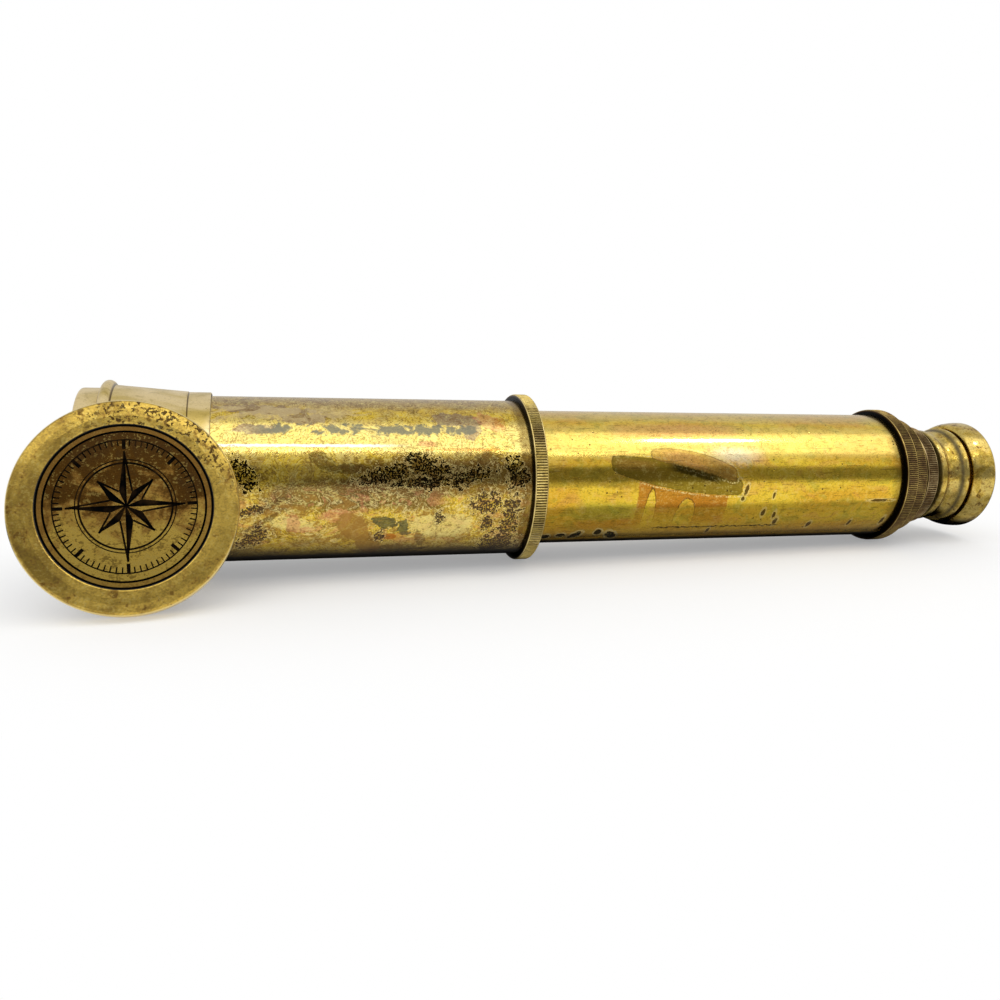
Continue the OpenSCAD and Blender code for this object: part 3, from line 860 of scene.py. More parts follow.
@dataclass(frozen=True)
class TonguedBrass(DrawBrass):
    """The first draw's brass, with long tongues of tarnish and an orange stain below them."""

    lower: Tongue = Tongue(156.6, 203.0, (13.6, -0.95, 0.0106), (27.5, -0.08, -0.0085))
    upper: Tongue = Tongue(170.2, 200.8, (24.2, -0.68, 0.0), (32.8, 0.3, -0.0285))
    stain: tuple[float, float] = (166.0, 198.0)
    # Olive bands painted as the dark reflection below the highlight.
    olive: tuple[Stripe, ...] = (
        Stripe(Tone.OLIVE, 0.6, (0, 17, 2), (-FAR, 167, 9)),
        Stripe(Tone.OLIVE, 0.4, (4, 16, 4), (204, FAR, 8)),
    )
    tints: tuple[Stripe, ...] = (
        Stripe(Tone.MOSS, 0.5, (-30, -14, 3), (146, 166, 4)),
        Stripe(Tone.RUST, 0.4, (-40, -30, 5), (146, 166, 4)),
        Stripe(Tone.ROSE, 0.4, (44, 60, 5), (158, 204, 5)),
    )
    dents: tuple[Blotch, ...] = (
        Blotch(212.5, -25, 0.7, 4), Blotch(217, -28, 0.6, 4), Blotch(218.5, -36, 0.8, 4.5),
        Blotch(232.5, -41, 0.8, 4), Blotch(248.5, -40, 0.6, 4), Blotch(261.5, -38, 0.6, 5),
        Blotch(195, -47, 0.6, 4), Blotch(257, -14.3, 3.8, 1.3), Blotch(204.5, -3, 0.8, 4, 2.5),
        Blotch(203.5, -11, 0.6, 2), Blotch(215, -8, 0.5, 3, 2.0),
    )
    islands: tuple[Blotch, ...] = (Blotch(170.7, -28, 2, 26), Blotch(183.5, -30, 3.5, 20))
    blots: tuple[Blotch, ...] = (
        Blotch(138, -52, 1.5, 4), Blotch(143, -50, 1.6, 3.5), Blotch(148, -50, 2.1, 5, 1.5),
        Blotch(155.5, -46, 1.3, 4.5), Blotch(160.5, -52, 2.2, 6.5, -1.5),
    )

    def patina(self, surface: Surface, layers: Layers, drift: Value) -> None:
        """Adds the olive band of painted reflection, a painted highlight and a painted whitish
        reflection, the stain, the tongues, the painted reflection of the collar, the dents and the blots.

        Args:
            surface: Where the points of the piece lie.
            layers: The layers to add to.
            drift: Coarse noise about 0 that bends the edges.
        """
        ragged = surface.noise(1.2, 4.0) - 0.5
        dots = surface.noise(0.55, 1.0).rise(0.46, 0.54)
        angle = surface.angle + drift * 9 + ragged * 4
        layers.stripes(surface, angle, self.olive)
        # Painted highlight: a white-hot glint high on the draw.
        hot = (surface.angle + ragged * 2).window(40.5, 42.5, 0.7)
        layers.lay(hot * surface.station.window(172, 206, 6) * 0.8, Tone.WHITE)
        # Painted reflection: a whitish haze lower down.
        haze = (surface.angle + ragged * 12).window(20, 34, 6)
        layers.lay(haze * surface.station.window(193, 208, 6) * 0.35, Tone.WHITE)
        layers.stripes(surface, angle, self.tints)

        fading = surface.angle.rise(-20, -17) * 0.45 + surface.angle.rise(-44, -26) * 0.35
        fading = fading * surface.above(self.lower.start, self.lower.low).fall(-0.5, 0.5)
        wide = (surface.station + ragged * 1.2).window(*self.stain, 0.3)
        shore = surface.nearest(self.islands) + ragged * 0.3
        layers.lay(wide * shore.rise(0.92, 1.03) * fading, Tone.RUST)
        layers.lay(wide * shore.window(0.98, 1.06, 0.03) * fading, Tone.UMBER)

        for tone, tongue, share in (
            (Tone.DEEP_OLIVE, self.lower, 0.8),
            (Tone.APRICOT, self.upper, 0.6),
        ):
            depth = surface.depth(tongue) + ragged * 2.4
            clear = surface.station.rise(tongue.start + 6, tongue.start + 14)
            layers.lay(depth.window(-2.0, -0.6, 0.4) * dots * clear * 0.75, Tone.CREAM)
            layers.lay(depth.rise(-0.2, 0.8) * share, tone)
            layers.lay(depth.window(0.1, 0.8, 0.4) * 0.5, Tone.BROWN)
            layers.lay(depth.rise(1, 4) * dots * 0.25, Tone.OLIVE)
        core = surface.depth(self.upper).rise(1, 5)
        layers.lay(core * surface.station.window(175, 190, 4) * 0.3, Tone.ROSE)
        layers.lay(core * surface.station.rise(190, 196) * 0.6, Tone.TAN)
        under = 0 - surface.above(self.upper.start, self.upper.low) + ragged * 5
        dark = surface.station.window(177, 194, 3)
        layers.lay(under.window(-1.5, 5, 1.2) * dark * 0.8, Tone.SOOT)
        tip = surface.depth(self.lower).rise(1, 5) * surface.station.window(158, 171, 3)
        layers.lay(tip * surface.angle.rise(12, 18) * 0.6, Tone.TAN)

        # Painted reflection of the collar, brown at the draw's rear end.
        layers.lay(surface.station.rise(259.5, 264.5) * 0.65, Tone.BROWN)
        dents = surface.nearest(self.dents) + ragged * 1.2
        layers.lay(dents.window(1.1, 1.6, 0.2) * 0.5, Tone.CREAM)
        layers.lay(dents.fall(0.8, 1.05) * 0.9, Tone.BROWN, height=-0.08)

        row = (surface.angle + 41 + ragged * 6).size().fall(0.5, 1.1)
        layers.lay(row * surface.station.window(174, 220, 1) * 0.85, Tone.SOOT, roughness=0.4)
        blots = surface.nearest(self.blots) + ragged * 0.9
        layers.lay(blots.window(1.0, 1.35, 0.1) * 0.8, Tone.CREAM)
        layers.lay(blots.fall(0.85, 1.0), Tone.SOOT, roughness=0.5)


@dataclass(frozen=True)
class SatinBrass(Finish):
    """The pale rubbed brass of the objective housing and its band."""

    seams: tuple[float, ...] = ()

    def bare(self, graph: Graph, surface: Surface) -> Layers:
        """Returns the colour of sand with straw smudges.

        Args:
            graph: The material's nodes.
            surface: Where the points of the piece lie.

        Returns:
            The layers of the bare metal.
        """
        smudge = surface.noise(9.0, 4.0, 0.6, stretch=2.0)
        colour = graph.mix(smudge.rise(0.38, 0.66), Tone.SAND, Tone.STRAW)
        return Layers(graph, colour, 0.3)

    def cover(self, surface: Surface, layers: Layers) -> None:
        """Adds the fine brushing, the dark seams and the bore.

        Args:
            surface: Where the points of the piece lie.
            layers: The layers to add to.
        """
        stain = surface.noise(4.0, 5.0, 0.8).rise(0.54, 0.66)
        layers.lay(stain * 0.3, Tone.OLIVE, roughness=0.36)
        brushing = surface.noise(0.5, 2.0)
        layers.lay(brushing.rise(0.5, 0.7) * 0.2, Tone.BRONZE, height=0.01)
        pits = self.pits(surface, 1.8, 0.12)
        layers.lay(pits * 0.7, Tone.BROWN, height=-0.04)
        for seam in self.seams:
            layers.lay(surface.station.window(seam - 0.2, seam + 0.2, 0.15) * 0.85, Tone.BROWN)
        self.inside(surface, layers)


@dataclass(frozen=True)
class KnurledBrass(Finish):
    """A knurled collar: a front face in painted shade, a plain rim, and ridges that are worn bright."""

    body: Tone = Tone.STRAW
    worn: Tone = Tone.CREAM
    start: float = 0.0
    end: float = 0.0
    rim: float = 0.4
    knurl_depth: float = 0.3

    def bare(self, graph: Graph, surface: Surface) -> Layers:
        """Returns the body colour with darker clouds.

        Args:
            graph: The material's nodes.
            surface: Where the points of the piece lie.

        Returns:
            The layers of the bare metal.
        """
        clouds = surface.noise(5.0, 4.0)
        colour = graph.mix(clouds.rise(0.45, 0.68) * 0.7, self.body, Tone.BRONZE)
        return Layers(graph, colour, 0.4)

    def cover(self, surface: Surface, layers: Layers) -> None:
        """Adds brown smudges, darker colour between the ridges, the worn edges and the painted shade of
        the front face.

        Args:
            surface: Where the points of the piece lie.
            layers: The layers to add to.
        """
        outside = self.outside
        darkening = surface.noise(0.9, 3.0).rise(0.5, 0.66)
        layers.lay(darkening * 0.45, Tone.BROWN, roughness=0.5, height=-0.03)
        knurl_start = self.start + self.rim
        knurled = surface.station.window(knurl_start, self.end - 0.4, 0.03)
        # Darker between the ridges.
        valley = surface.radius.fall(outside - self.knurl_depth, outside - 0.06) * knurled
        layers.lay(valley * 0.85, Tone.SOOT, roughness=0.6)
        rubbed = surface.noise(3.0, 3.0).rise(0.36, 0.6)
        tips = surface.radius.rise(outside - 0.1, outside - 0.03) * knurled
        layers.lay(tips * rubbed * 0.8, self.worn, roughness=0.3)
        edges = surface.station.window(self.end - 0.3, self.end - 0.12, 0.05)
        front = surface.station.window(self.start + 0.1, self.start + 0.3, 0.05)
        layers.lay(edges.highest(front) * (rubbed * 0.5 + 0.5), self.worn, roughness=0.3)
        # Painted shade on the front face, black nearest the tube.
        face = surface.station.fall(self.start + 0.02, self.start + 0.08)
        inner = surface.radius.fall(outside - 0.9, outside - 0.4)
        layers.lay(face, Tone.BROWN, roughness=0.4)
        layers.lay(face * inner, Tone.BLACK, roughness=0.55)


@dataclass(frozen=True)
class EyepieceBrass(Finish):
    """The polished brass of the eyepiece, with brown pits and painted shade in its grooves."""

    hollow: float = 0.0
    # Black bands of painted shade: their start, end and share.
    darkening: tuple[tuple[float, float, float], ...] = ()

    def bare(self, graph: Graph, surface: Surface) -> Layers:
        """Returns gold with olive clouds.

        Args:
            graph: The material's nodes.
            surface: Where the points of the piece lie.

        Returns:
            The layers of the bare metal.
        """
        clouds = surface.noise(5.0, 5.0, 0.6)
        colour = graph.mix(clouds.rise(0.42, 0.6), Tone.GOLD, Tone.STRAW)
        colour = graph.mix(clouds.fall(0.4, 0.48) * 0.5, colour, Tone.OLIVE)
        return Layers(graph, colour, 0.15)

    def cover(self, surface: Surface, layers: Layers) -> None:
        """Adds the stains, the pits, the black bands of painted shade and the dark hollow.

        Args:
            surface: Where the points of the piece lie.
            layers: The layers to add to.
        """
        stain = surface.noise(3.0, 5.0, 0.8)
        layers.lay(stain.rise(0.52, 0.6) * 0.4, Tone.TAN, roughness=0.28)
        layers.lay(stain.rise(0.6, 0.66) * 0.8, Tone.UMBER, roughness=0.4, height=-0.04)
        pits = self.pits(surface, 1.8, 0.2)
        layers.lay(pits * 0.85, Tone.BROWN, roughness=0.5, height=-0.06)
        self.grain(surface, layers, Tone.OLIVE, Tone.PALE, 0.25)
        # Black bands of painted shade, before the flange and in the neck's grooves.
        for start, end, share in self.darkening:
            blend = (end - start) / 4
            band = surface.station.window(start + blend, end - blend, blend)
            layers.lay(band * share, Tone.BLACK, roughness=0.5, metal=0.3)
        hollow = surface.radius.fall(self.hollow, self.hollow + 0.4)
        layers.lay(hollow, Tone.BLACK, roughness=0.7, metal=0.0)


@dataclass(frozen=True)
class CapBrass(Finish):
    """The cap's matt brass: brown smudges, a pitted quarter and a painted highlight on its edge."""

    pocket: float = 21.7

    def bare(self, graph: Graph, surface: Surface) -> Layers:
        """Returns gold that clouds over into brown, more so away from the telescope.

        Args:
            graph: The material's nodes.
            surface: Where the points of the piece lie.

        Returns:
            The layers of the bare metal.
        """
        smudge = surface.noise(8.0, 4.0, 0.5)
        far = (surface.angle.size() / 180).rise(0.3, 0.9) * 0.16
        colour = graph.mix((smudge + far).rise(0.46, 0.72) * 0.5, Tone.GOLD, Tone.UMBER)
        return Layers(graph, colour, 0.34)

    def cover(self, surface: Surface, layers: Layers) -> None:
        """Adds the specks, the pits, the dark seat of the medallion and the painted highlight on the
        edge.

        Args:
            surface: Where the points of the piece lie.
            layers: The layers to add to.
        """
        brushing = surface.noise(0.6, 3.0).rise(0.45, 0.7)
        layers.lay(brushing * 0.3, Tone.BRONZE, roughness=0.46, height=-0.01)
        stain = surface.noise(2.4, 5.0)
        layers.lay(stain.rise(0.55, 0.64) * 0.4, Tone.TAN, roughness=0.45)
        layers.lay(stain.rise(0.62, 0.68) * 0.6, Tone.UMBER, roughness=0.45)
        quarter = surface.angle.window(10, 115, 20)
        uneven = surface.noise(2.6, 3.0).rise(0.4, 0.56)
        pits = surface.noise(0.85, 2.0).rise(0.53, 0.56) * quarter * uneven
        layers.lay(pits * 0.95, Tone.BROWN, roughness=0.5, height=-0.08)
        self.grain(surface, layers, Tone.BRONZE, Tone.PALE, 0.2)
        # Painted highlight on the cap's outer edge.
        edge = surface.radius.rise(self.outside - 0.5, self.outside - 0.2)
        layers.lay(edge * 0.8, Tone.CREAM, roughness=0.28)
        seat = surface.radius.fall(self.pocket + 0.12, self.pocket + 0.3)
        layers.lay(seat * surface.station.rise(-2.2, -1.6), Tone.BLACK, roughness=0.6, metal=0.2)


@dataclass(frozen=True)
class MedallionBrass(Finish):
    """The medallion's amber patina, darker towards its top, with a black engraved ring."""

    line: float = 19.82

    def bare(self, graph: Graph, surface: Surface) -> Layers:
        """Returns brown and amber clouds over gold.

        Args:
            graph: The material's nodes.
            surface: Where the points of the piece lie.

        Returns:
            The layers of the bare metal.
        """
        clouds = surface.noise(8.0, 5.0, 1.0)
        low = surface.height * surface.radius / self.outside
        shade = (clouds - 0.5) * 2.2 + low * 0.9 + 0.45
        colour = graph.mix(shade.rise(0.0, 0.5), Tone.GOLD, Tone.TAN)
        colour = graph.mix(shade.rise(0.35, 0.7), colour, Tone.UMBER)
        colour = graph.mix(shade.rise(0.7, 1.3) * 0.8, colour, Tone.BROWN)
        return Layers(graph, colour, 0.26)

    def cover(self, surface: Surface, layers: Layers) -> None:
        """Adds scratches, specks and the engraved ring.

        Args:
            surface: Where the points of the piece lie.
            layers: The layers to add to.
        """
        self.grain(surface, layers, Tone.UMBER, Tone.STRAW, 0.35)
        scratches = surface.noise(0.9, 2.0, stretch=0.12).rise(0.66, 0.72)
        layers.lay(scratches * 0.25, Tone.STRAW, height=-0.01)
        band = surface.radius.rise(self.line, self.line + 0.4)
        layers.lay(band * 0.6, Tone.TAN)
        ring = surface.radius.window(self.line - 0.28, self.line + 0.28, 0.05)
        rim = surface.radius.rise(self.outside - 0.6, self.outside - 0.45)
        layers.lay(ring.highest(rim), Tone.BLACK, roughness=0.5)


@dataclass(frozen=True)
class LatheBrass(Finish):
    """Plain turned brass of the inner rings and cells."""

    tone: Tone = Tone.STRAW
    roughness: float = 0.35
    metal: float = 1.0

    def bare(self, graph: Graph, surface: Surface) -> Layers:
        """Returns the tone with faint clouds.

        Args:
            graph: The material's nodes.
            surface: Where the points of the piece lie.

        Returns:
            The layers of the bare metal.
        """
        clouds = surface.noise(4.0, 3.0)
        colour = graph.mix(clouds.rise(0.4, 0.7) * 0.4, self.tone, Tone.BROWN)
        return Layers(graph, colour, self.roughness, self.metal)

    def cover(self, surface: Surface, layers: Layers) -> None:
        """Adds the tool marks."""
        marks = surface.noise(0.8, 1.0, stretch=0.1)
        layers.lay(marks, height=0.015)


@dataclass(frozen=True)
class LensGlass:
    """Clear optical glass with a little dust on it."""

    name: str

    def material(self) -> bpy.types.Material:
        """Returns the finished material.

        Returns:
            The material.
        """
        material = bpy.data.materials.new(self.name)
        graph = Graph(material)
        coords = graph.node("ShaderNodeTexCoord").outputs["Object"]
        place = graph.vector("MULTIPLY", coords, Vector((1, 1, 1)) / MM)
        dust = graph.noise(place, 3.0, 4.0).rise(0.6, 0.8)
        layers = Layers(graph, Tone.WHITE, 0.02, 0.0)
        layers.lay(dust, roughness=0.12)
        layers.finish({"Transmission Weight": 1.0, "IOR": 1.52})
        return material


class Bench:
    """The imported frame, and what every sub-assembly takes from it."""

    def __init__(self) -> None:
        """Loads the frame and finds the two spindles."""
        self.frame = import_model()
        self.cad_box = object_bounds()
        record = self.frame["record"]
        mounts = {mount["name"]: mount for mount in record["mounts"]}
        way = -Vector(mounts["nose_face"]["axis"]).normalized()
        on_axis = Vector(mounts["nose"]["pos_m"])
        face = Vector(mounts["nose_face"]["pos_m"])
        side = Vector((0.0, -1.0, 0.0))
        up = side.cross(way).normalized()
        if up.z < 0:
            up = -up
        self.tube = Spindle(on_axis + way * (face - on_axis).dot(way), way, up, side)

        joints = {joint["name"]: joint for joint in self.frame["joints"]}
        out = Vector(joints["cap_lift"]["axis"]).normalized()
        low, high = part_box("cap_medallion")
        middle = (low + high) / 2
        top = max((v.co - middle).dot(out) for v in self.nodes["cap_medallion"].data.vertices)
        across = Vector((0.0, 0.0, 1.0)).cross(out).normalized()
        self.cap = Spindle(middle + out * top, out, out.cross(across), across)

    @property
    def nodes(self) -> dict[str, bpy.types.Object]:
        """The CAD nodes by name."""
        return self.frame["nodes"]

    def radius(self, node: str) -> float:
        """Returns the outside radius of a piece on the telescope, in millimetres."""
        low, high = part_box(node)
        return (high.y - low.y) / 2 / MM

    def stations(self, node: str) -> tuple[float, float]:
        """Returns the first and last station of a piece on the telescope."""
        reach = [(v.co - self.tube.origin).dot(self.tube.way) for v in self.nodes[node].data.vertices]
        return min(reach) / MM, max(reach) / MM

    def dress(self, finish: Union[Finish, LensGlass], *nodes: str) -> None:
        """Gives nodes one material.

        Args:
            finish: What the material is made from.
            nodes: Names of the nodes.
        """
        material = finish.material()
        for node in nodes:
            mesh = self.nodes[node].data
            mesh.materials.clear()
            mesh.materials.append(material)
            LOG.info("%s: %s", node, material.name)

    def polish(self, node: str, kind: type[Finish], name: str, *values: Any) -> None:
        """Gives a turned piece of the telescope a finish that knows the piece's radius."""
        self.dress(kind(name, self.tube, self.radius(node), *values), node)


@dataclass
class Barrel:
    """The barrel tube, its band and its objective end."""

    bench: Bench
    bead_start: float = 6.1
    bead_width: float = 3.4
    nose_radius: float = 26.85
    nose_wall: float = 0.9
    seam_inset: float = 0.2

    def dress(self) -> None:
        """Dresses the barrel's pieces."""
        bench = self.bench
        bench.polish("barrel_tube", BarrelBrass, "barrel_patina")
        seams = (self.bead_start, self.bead_start + self.bead_width)
        inside = self.nose_radius - self.nose_wall
        bench.dress(SatinBrass("housing_satin", bench.tube, inside, seams), "objective_housing")
        seam = bench.stations("objective_housing")[1] + self.seam_inset
        bench.polish("barrel_band", SatinBrass, "band_satin", (seam,))
        cell = LatheBrass("cell_black", bench.tube, 0.0, Tone.SOOT, 0.5, 0.3)
        bench.dress(cell, "objective_cell", "objective_ring")


@dataclass
class Collars:
    """The knurled collars of the barrel and the draws."""

    bench: Bench

    def dress(self) -> None:
        """Dresses the four collars."""
        bench = self.bench
        for node, length, body, worn in (
            ("barrel_collar", 4.2, Tone.STRAW, Tone.CREAM),
            ("draw_1_collar", 4.3, Tone.BRONZE, Tone.STRAW),
            ("draw_2_collar", 4.3, Tone.BRONZE, Tone.STRAW),
            ("draw_3_collar", 4.3, Tone.BRONZE, Tone.KHAKI),
        ):
            end = bench.stations(node)[1]
            bench.polish(node, KnurledBrass, node + "_knurl", body, worn, end - length, end)


@dataclass
class Draws:
    """The four draw tubes, their stop rings and the erector in the last."""

    bench: Bench
    # For each later draw, the stations where it shows behind the collar before it, painted black as
    # shade.
    collar_shade: tuple[tuple[float, float], ...] = ((269.0, 271.6), (275.5, 278.9), (282.8, 286.4))

    def dress(self) -> None:
        """Dresses the draws' pieces."""
        bench = self.bench
        bench.polish("draw_1_tube", TonguedBrass, "draw_1_patina")
        for number, collar_shade in enumerate(self.collar_shade, 2):
            bench.polish(f"draw_{number}_tube", DrawBrass, f"draw_{number}_polish", collar_shade)
        rings = [f"draw_{number}_stop_ring" for number in (1, 2, 3, 4)]
        erector = ("erector_tube", "erector_front_ring", "erector_rear_ring")
        bench.dress(LatheBrass("turned_ring", bench.tube, 0.0), *rings, *erector)


@dataclass
class Eyepiece:
    """The eyepiece's body, its cup and what they hold.

    A black band of painted shade has its start and its end, measured back from the flange's front, and
    its share.
    """

    bench: Bench
    flange_front: float = 285.7
    neck_hollow: float = 12.0
    cup_hollow: float = 5.0
    # Black bands of painted shade, before the flange and in the neck's grooves.
    darkening: tuple[tuple[float, float, float], ...] = (
        (-2.0, 0.9, 1.0), (2.2, 3.6, 0.75), (7.4, 10.3, 0.8), (11.2, 12.5, 1.0)
    )

    def dress(self) -> None:
        """Dresses the eyepiece's pieces."""
        bench = self.bench
        front = self.flange_front
        darkening = tuple((front + start, front + end, share) for start, end, share in self.darkening)
        bench.polish("eyepiece_body", EyepieceBrass, "neck_polish", self.neck_hollow, darkening)
        bench.polish("eyecup", EyepieceBrass, "cup_polish", self.cup_hollow)
        black = LatheBrass("stop_black", bench.tube, 0.0, Tone.BLACK, 0.7, 0.0)
        bench.dress(black, "field_stop", "erector_stop")
        cell = LatheBrass("eye_cell", bench.tube, 0.0, Tone.BRONZE, 0.4)
        bench.dress(cell, "eye_lens_cell", "eye_lens_ring")


@dataclass
class Lenses:
    """The six lenses."""

    bench: Bench

    def dress(self) -> None:
        """Dresses the lenses."""
        places = ("crown", "flint", "erector_front", "erector_rear", "field", "eye")
        self.bench.dress(LensGlass("optical_glass"), *(place + "_lens" for place in places))


@dataclass
class CompassRose:
    """A plain compass star with a ring of degree marks, inlaid in black in the medallion."""

    bench: Bench
    long_point: float = 14.6
    short_point: float = 9.6
    waist: float = 4.2
    outline: float = 0.5
    marks_inside: float = 16.0
    marks_outside: float = 17.6
    marks: int = 72
    mark_width: float = 0.36
    bold_width: float = 0.9
    bold_reach: float = 0.9
    bold_every: int = 9
    rings: tuple[tuple[float, float], ...] = ((17.6, 0.36), (11.4, 0.5), (12.3, 0.28))
    proud: float = 0.02
    depth: float = 0.06

    def strip(self, start: Vector, end: Vector, width: float) -> list[Vector]:
        """Returns the corners of a straight line of some width.

        Args:
            start: Middle of its first end.
            end: Middle of its last end.
            width: Its width.

        Returns:
            The four corners.
        """
        along = (end - start).normalized()
        half = Vector((-along.y, along.x)) * (width / 2)
        return [start - half, end - half, end + half, start + half]

    def wedge(self, angle: float, reach: float, waist: float, offset: float) -> list[list[Vector]]:
        """Returns one point of the star: a black half and the outline of the other half.

        Args:
            angle: Direction of the point in radians.
            reach: Radius of its tip.
            waist: Radius where it meets its neighbours.
            offset: Angle from the tip to the neighbours' meeting.

        Returns:
            Its polygons.
        """
        tip = Vector((math.cos(angle), math.sin(angle))) * reach
        left = Vector((math.cos(angle + offset), math.sin(angle + offset))) * waist
        right = Vector((math.cos(angle - offset), math.sin(angle - offset))) * waist
        centre = Vector((0.0, 0.0))
        return [
            [centre, tip, left],
            self.strip(right, tip, self.outline),
            self.strip(centre, tip, self.outline),
        ]

    def circle(self, radius: float, width: float, steps: int = 96) -> list[list[Vector]]:
        """Returns a thin ring as a row of short quads.

        Args:
            radius: Middle radius of the ring.
            width: Its width.
            steps: How many quads it has.

        Returns:
            The quads.
        """

        def at(step: int, reach: float) -> Vector:
            """Returns a point of the ring."""
            angle = math.tau * step / steps
            return Vector((math.cos(angle), math.sin(angle))) * reach

        inner, outer = radius - width / 2, radius + width / 2
        return [[at(i, inner), at(i, outer), at(i + 1, outer), at(i + 1, inner)] for i in range(steps)]

    def polygons(self) -> list[list[Vector]]:
        """Returns every polygon of the design.

        Returns:
            Their corners, in millimetres from the medallion's middle.
        """
        shapes: list[list[Vector]] = []
        for quarter in range(4):
            angle = math.tau / 4 * quarter
            shapes += self.wedge(angle + math.tau / 8, self.short_point, self.waist, math.tau / 16)
            shapes += self.wedge(angle, self.long_point, self.waist, math.tau / 16)
        for mark in range(self.marks):
            angle = math.tau * mark / self.marks
            way = Vector((math.cos(angle), math.sin(angle)))
            bold = mark % self.bold_every == 0
            inside = self.marks_inside - (self.bold_reach if bold else 0.0)
            width = self.bold_width if bold else self.mark_width
            shapes.append(self.strip(way * inside, way * self.marks_outside, width))
        for radius, width in self.rings:
            shapes += self.circle(radius, width)
        return shapes

    def build(self) -> bpy.types.Object:
        """Returns the inlay, riding on the cap.

        Returns:
            The object of the inlay.
        """
        spindle = self.bench.cap
        mesh = bmesh.new()
        for corners in self.polygons():
            low = [mesh.verts.new(spindle.point(-self.depth, p.x, p.y)) for p in corners]
            high = [mesh.verts.new(spindle.point(self.proud, p.x, p.y)) for p in corners]
            mesh.faces.new(high)
            mesh.faces.new(list(reversed(low)))
            for i in range(len(corners)):
                j = (i + 1) % len(corners)
                mesh.faces.new((low[i], low[j], high[j], high[i]))
        bmesh.ops.recalc_face_normals(mesh, faces=mesh.faces)
        data = bpy.data.meshes.new("compass_inlay")
        mesh.to_mesh(data)
        mesh.free()
        inlay = bpy.data.objects.new("compass_inlay", data)
        bpy.context.scene.collection.objects.link(inlay)
        finish = LatheBrass("inlay_black", spindle, 0.0, Tone.BLACK, 0.45)
        data.materials.append(finish.material())
        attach(inlay, "cap")
        LOG.info("compass_inlay: %d polygons", len(data.polygons))
        return inlay


@dataclass
class Cap:
    """The loose lens cap and its medallion."""

    bench: Bench
    outside: float = 28.6
    medallion: float = 21.67

    def dress(self) -> None:
        """Dresses the cap and inlays its medallion."""
        bench = self.bench
        bench.dress(CapBrass("cap_matt", bench.cap, self.outside), "cap_shell")
        disc = MedallionBrass("medallion_amber", bench.cap, self.medallion)
        bench.dress(disc, "cap_medallion")
        CompassRose(bench).build()


@dataclass(frozen=True)
class Lamp:
    """A soft box: where it hangs and its length and width, in metres, and its power in watts."""

    name: str
    place: tuple[float, float, float]
    size: tuple[float, float]
    power: float


@dataclass(frozen=True)
class Card:
    """A card in front that only reflections show, as a studio's flag or reflector.

    Its edges are angles above the level, seen from the telescope. Its distance, its ends along the
    telescope and the rise of its upper edge from end to end follow.
    """

    name: str
    low: float
    high: float
    distance: float
    brightness: float
    ends: tuple[float, float]
    slope: float = 0.0


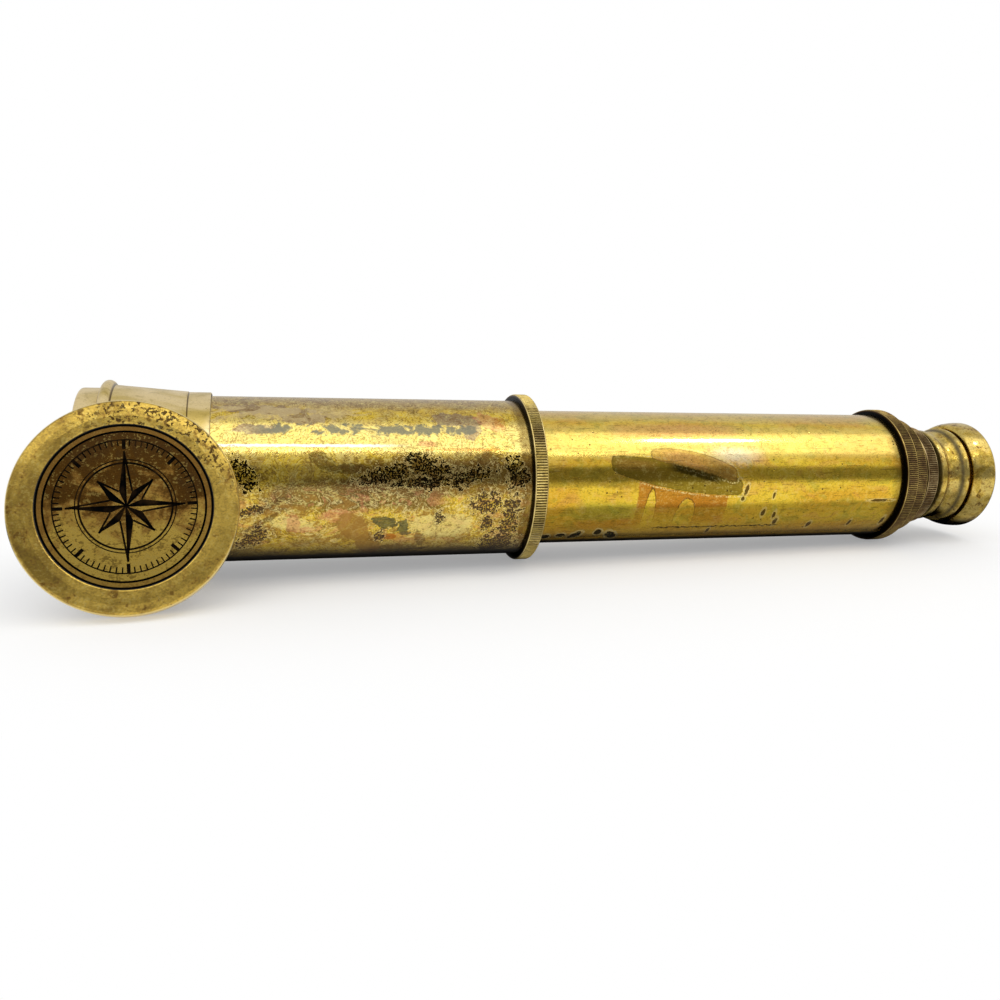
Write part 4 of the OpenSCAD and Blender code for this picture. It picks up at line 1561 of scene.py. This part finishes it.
@dataclass
class Studio:
    """The floor, the lights and the camera."""

    bench: Bench
    lens: float = 33.15
    sensor: float = 36.0
    heading: float = 15.41
    pitch: float = 11.06
    roll: float = 0.88
    eye: tuple[float, float, float] = (46.8, -287.9, 77.96)
    floor_size: float = 8.0
    paper: tuple[float, float, float, float] = (0.96, 0.96, 0.955, 1.0)
    white_reach: tuple[float, float] = (0.24, 0.11)
    shade_front: float = 34.0
    contact_front: float = 4.0
    shade_back: float = -80.0
    light_level: float = 0.74
    white_level: float = 1.0
    room_level: float = 0.74
    lamps: tuple[Lamp, ...] = (
        Lamp("top_box", (0.4, -0.36, 1.0), (2.8, 0.8), 5.9),
        Lamp("strip", (-0.35, -0.75, 0.86), (1.6, 0.02), 0.8),
        Lamp("spark", (0.59, -0.27, 1.0), (0.14, 0.05), 0.6),
    )
    cards: tuple[Card, ...] = (
        Card("front_flag", -1.4, 45.0, 1.2, 0.32, (-4.0, -0.35)),
        Card("slanted_flag", -1.4, 30.0, 1.2, 0.32, (-0.35, 3.0), -0.1),
        Card("reflector", 24.0, 52.0, 1.15, 1.2, (0.95, 1.06)),
    )

    def plane(self, name: str, corners: Sequence[Sequence[float]]) -> bpy.types.Object:
        """Returns a stage plane.

        Args:
            name: Its name.
            corners: Its four corners in metres.

        Returns:
            The object, marked as stage.
        """
        data = bpy.data.meshes.new(name)
        data.from_pydata([tuple(corner) for corner in corners], [], [(0, 1, 2, 3)])
        plane = bpy.data.objects.new(name, data)
        bpy.context.scene.collection.objects.link(plane)
        plane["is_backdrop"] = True
        return plane

    def floor(self) -> None:
        """Builds the pale floor, which shows as white where no shadow falls, with painted shade on it
        that only reflections see.
        """
        half = self.floor_size / 2
        signs = ((-1, -1), (1, -1), (1, 1), (-1, 1))
        floor = self.plane("floor", [(x * half, y * half, 0.0) for x, y in signs])
        material = bpy.data.materials.new("floor_paper")
        graph = Graph(material)
        coords = graph.node("ShaderNodeTexCoord").outputs["Object"]
        long, wide = self.white_reach
        reach = graph.vector("MULTIPLY", coords, Vector((1 / long, 1 / wide, 0.0)))
        away = graph.dot(reach, reach).root()
        paper = graph.node("ShaderNodeBsdfDiffuse", {}, {"Color": self.paper}).outputs[0]
        white = graph.rays("Camera", "Glossy", "Transmission") * (away.rise(0.5, 1.1) * 0.7 + 0.3)
        lit = graph.blend(white, paper, graph.glow(1.0))
        front = graph.dot(coords, Vector((0.0, -1.0, 0.0))) / MM
        along = graph.dot(coords, Vector((1.0, 0.0, 0.0))) / MM
        # Painted shade that only reflections see: black under and behind the telescope, half dark a
        # little way in front of the draws.
        shade = front.window(self.shade_back, self.shade_front, 3) * along.rise(-25, -5) * 0.5
        contact = front.window(self.shade_back, self.contact_front, 7)
        dark = graph.rays("Glossy") * shade.highest(contact)
        graph.end(graph.blend(dark, lit, graph.glow(0.0)))
        floor.data.materials.append(material)

    def world(self) -> None:
        """Makes the white surround, its softer light and the grey room that the brass shows."""
        world = bpy.data.worlds.new("surround")
        bpy.context.scene.world = world
        graph = Graph(world)
        levels = (self.light_level, self.white_level, self.room_level)
        light, white, room = [
            graph.node("ShaderNodeBackground", {}, {"Color": Tone.WHITE, "Strength": level}).outputs[0]
            for level in levels
        ]
        shown = graph.blend(graph.rays("Camera", "Glossy", "Transmission"), light, white)
        graph.end(graph.blend(graph.rays("Glossy"), shown, room), "World")

    def light(self, lamp: Lamp) -> None:
        """Hangs a lamp that faces the telescope.

        Args:
            lamp: The lamp to hang.
        """
        data = bpy.data.lights.new(lamp.name, "AREA")
        data.shape = "RECTANGLE"
        data.size, data.size_y = lamp.size
        data.energy = lamp.power
        box = bpy.data.objects.new(lamp.name, data)
        box.location = lamp.place
        back = Vector((0.0, *lamp.place[1:])).normalized()
        across = Vector((1.0, 0.0, 0.0))
        turn = Matrix((across, back.cross(across), back)).transposed()
        box.rotation_euler = turn.to_euler()
        bpy.context.scene.collection.objects.link(box)

    def hang(self, card: Card) -> None:
        """Hangs a card.

        Args:
            card: The card to hang.
        """
        left, right = card.ends
        axis = self.bench.tube.origin.z
        low, high = (axis + card.distance * math.tan(math.radians(a)) for a in (card.low, card.high))
        far_high = high + card.slope * (right - left)
        corners = ((left, low), (right, low), (right, far_high), (left, high))
        sheet = self.plane(card.name, [(x, -card.distance, z) for x, z in corners])
        sheet.visible_camera = False
        sheet.visible_diffuse = False
        sheet.visible_transmission = False
        sheet.visible_shadow = False
        material = bpy.data.materials.new(card.name)
        graph = Graph(material)
        graph.end(graph.glow(card.brightness))
        sheet.data.materials.append(material)

    def camera(self) -> None:
        """Places the camera as the photograph was taken."""
        origin = self.bench.tube.origin
        data = bpy.data.cameras.new("camera")
        data.lens = self.lens
        data.sensor_width = self.sensor
        data.clip_start = 0.01
        camera = bpy.data.objects.new("camera", data)
        turn = Matrix.Rotation(math.radians(-self.heading), 4, "Z")
        tip = Matrix.Rotation(math.radians(90 - self.pitch), 4, "X")
        roll = Matrix.Rotation(math.radians(self.roll), 4, "Z")
        place = Matrix.Translation(Vector((origin.x, origin.y, 0.0)) + Vector(self.eye) * MM)
        camera.matrix_world = place @ turn @ tip @ roll
        bpy.context.scene.collection.objects.link(camera)
        bpy.context.scene.camera = camera

    def build(self) -> None:
        """Builds the studio."""
        self.camera()
        self.floor()
        self.world()
        for lamp in self.lamps:
            self.light(lamp)
        for card in self.cards:
            self.hang(card)
        bpy.context.scene.view_settings.view_transform = "Standard"


def main() -> None:
    """Dresses the telescope and builds the studio round it."""
    logging.basicConfig(level=logging.INFO, format="%(name)s: %(message)s")
    bench = Bench()
    Studio(bench).build()
    for part in (Barrel(bench), Collars(bench), Draws(bench), Eyepiece(bench), Lenses(bench), Cap(bench)):
        part.dress()


if __name__ == "__main__":
    main()
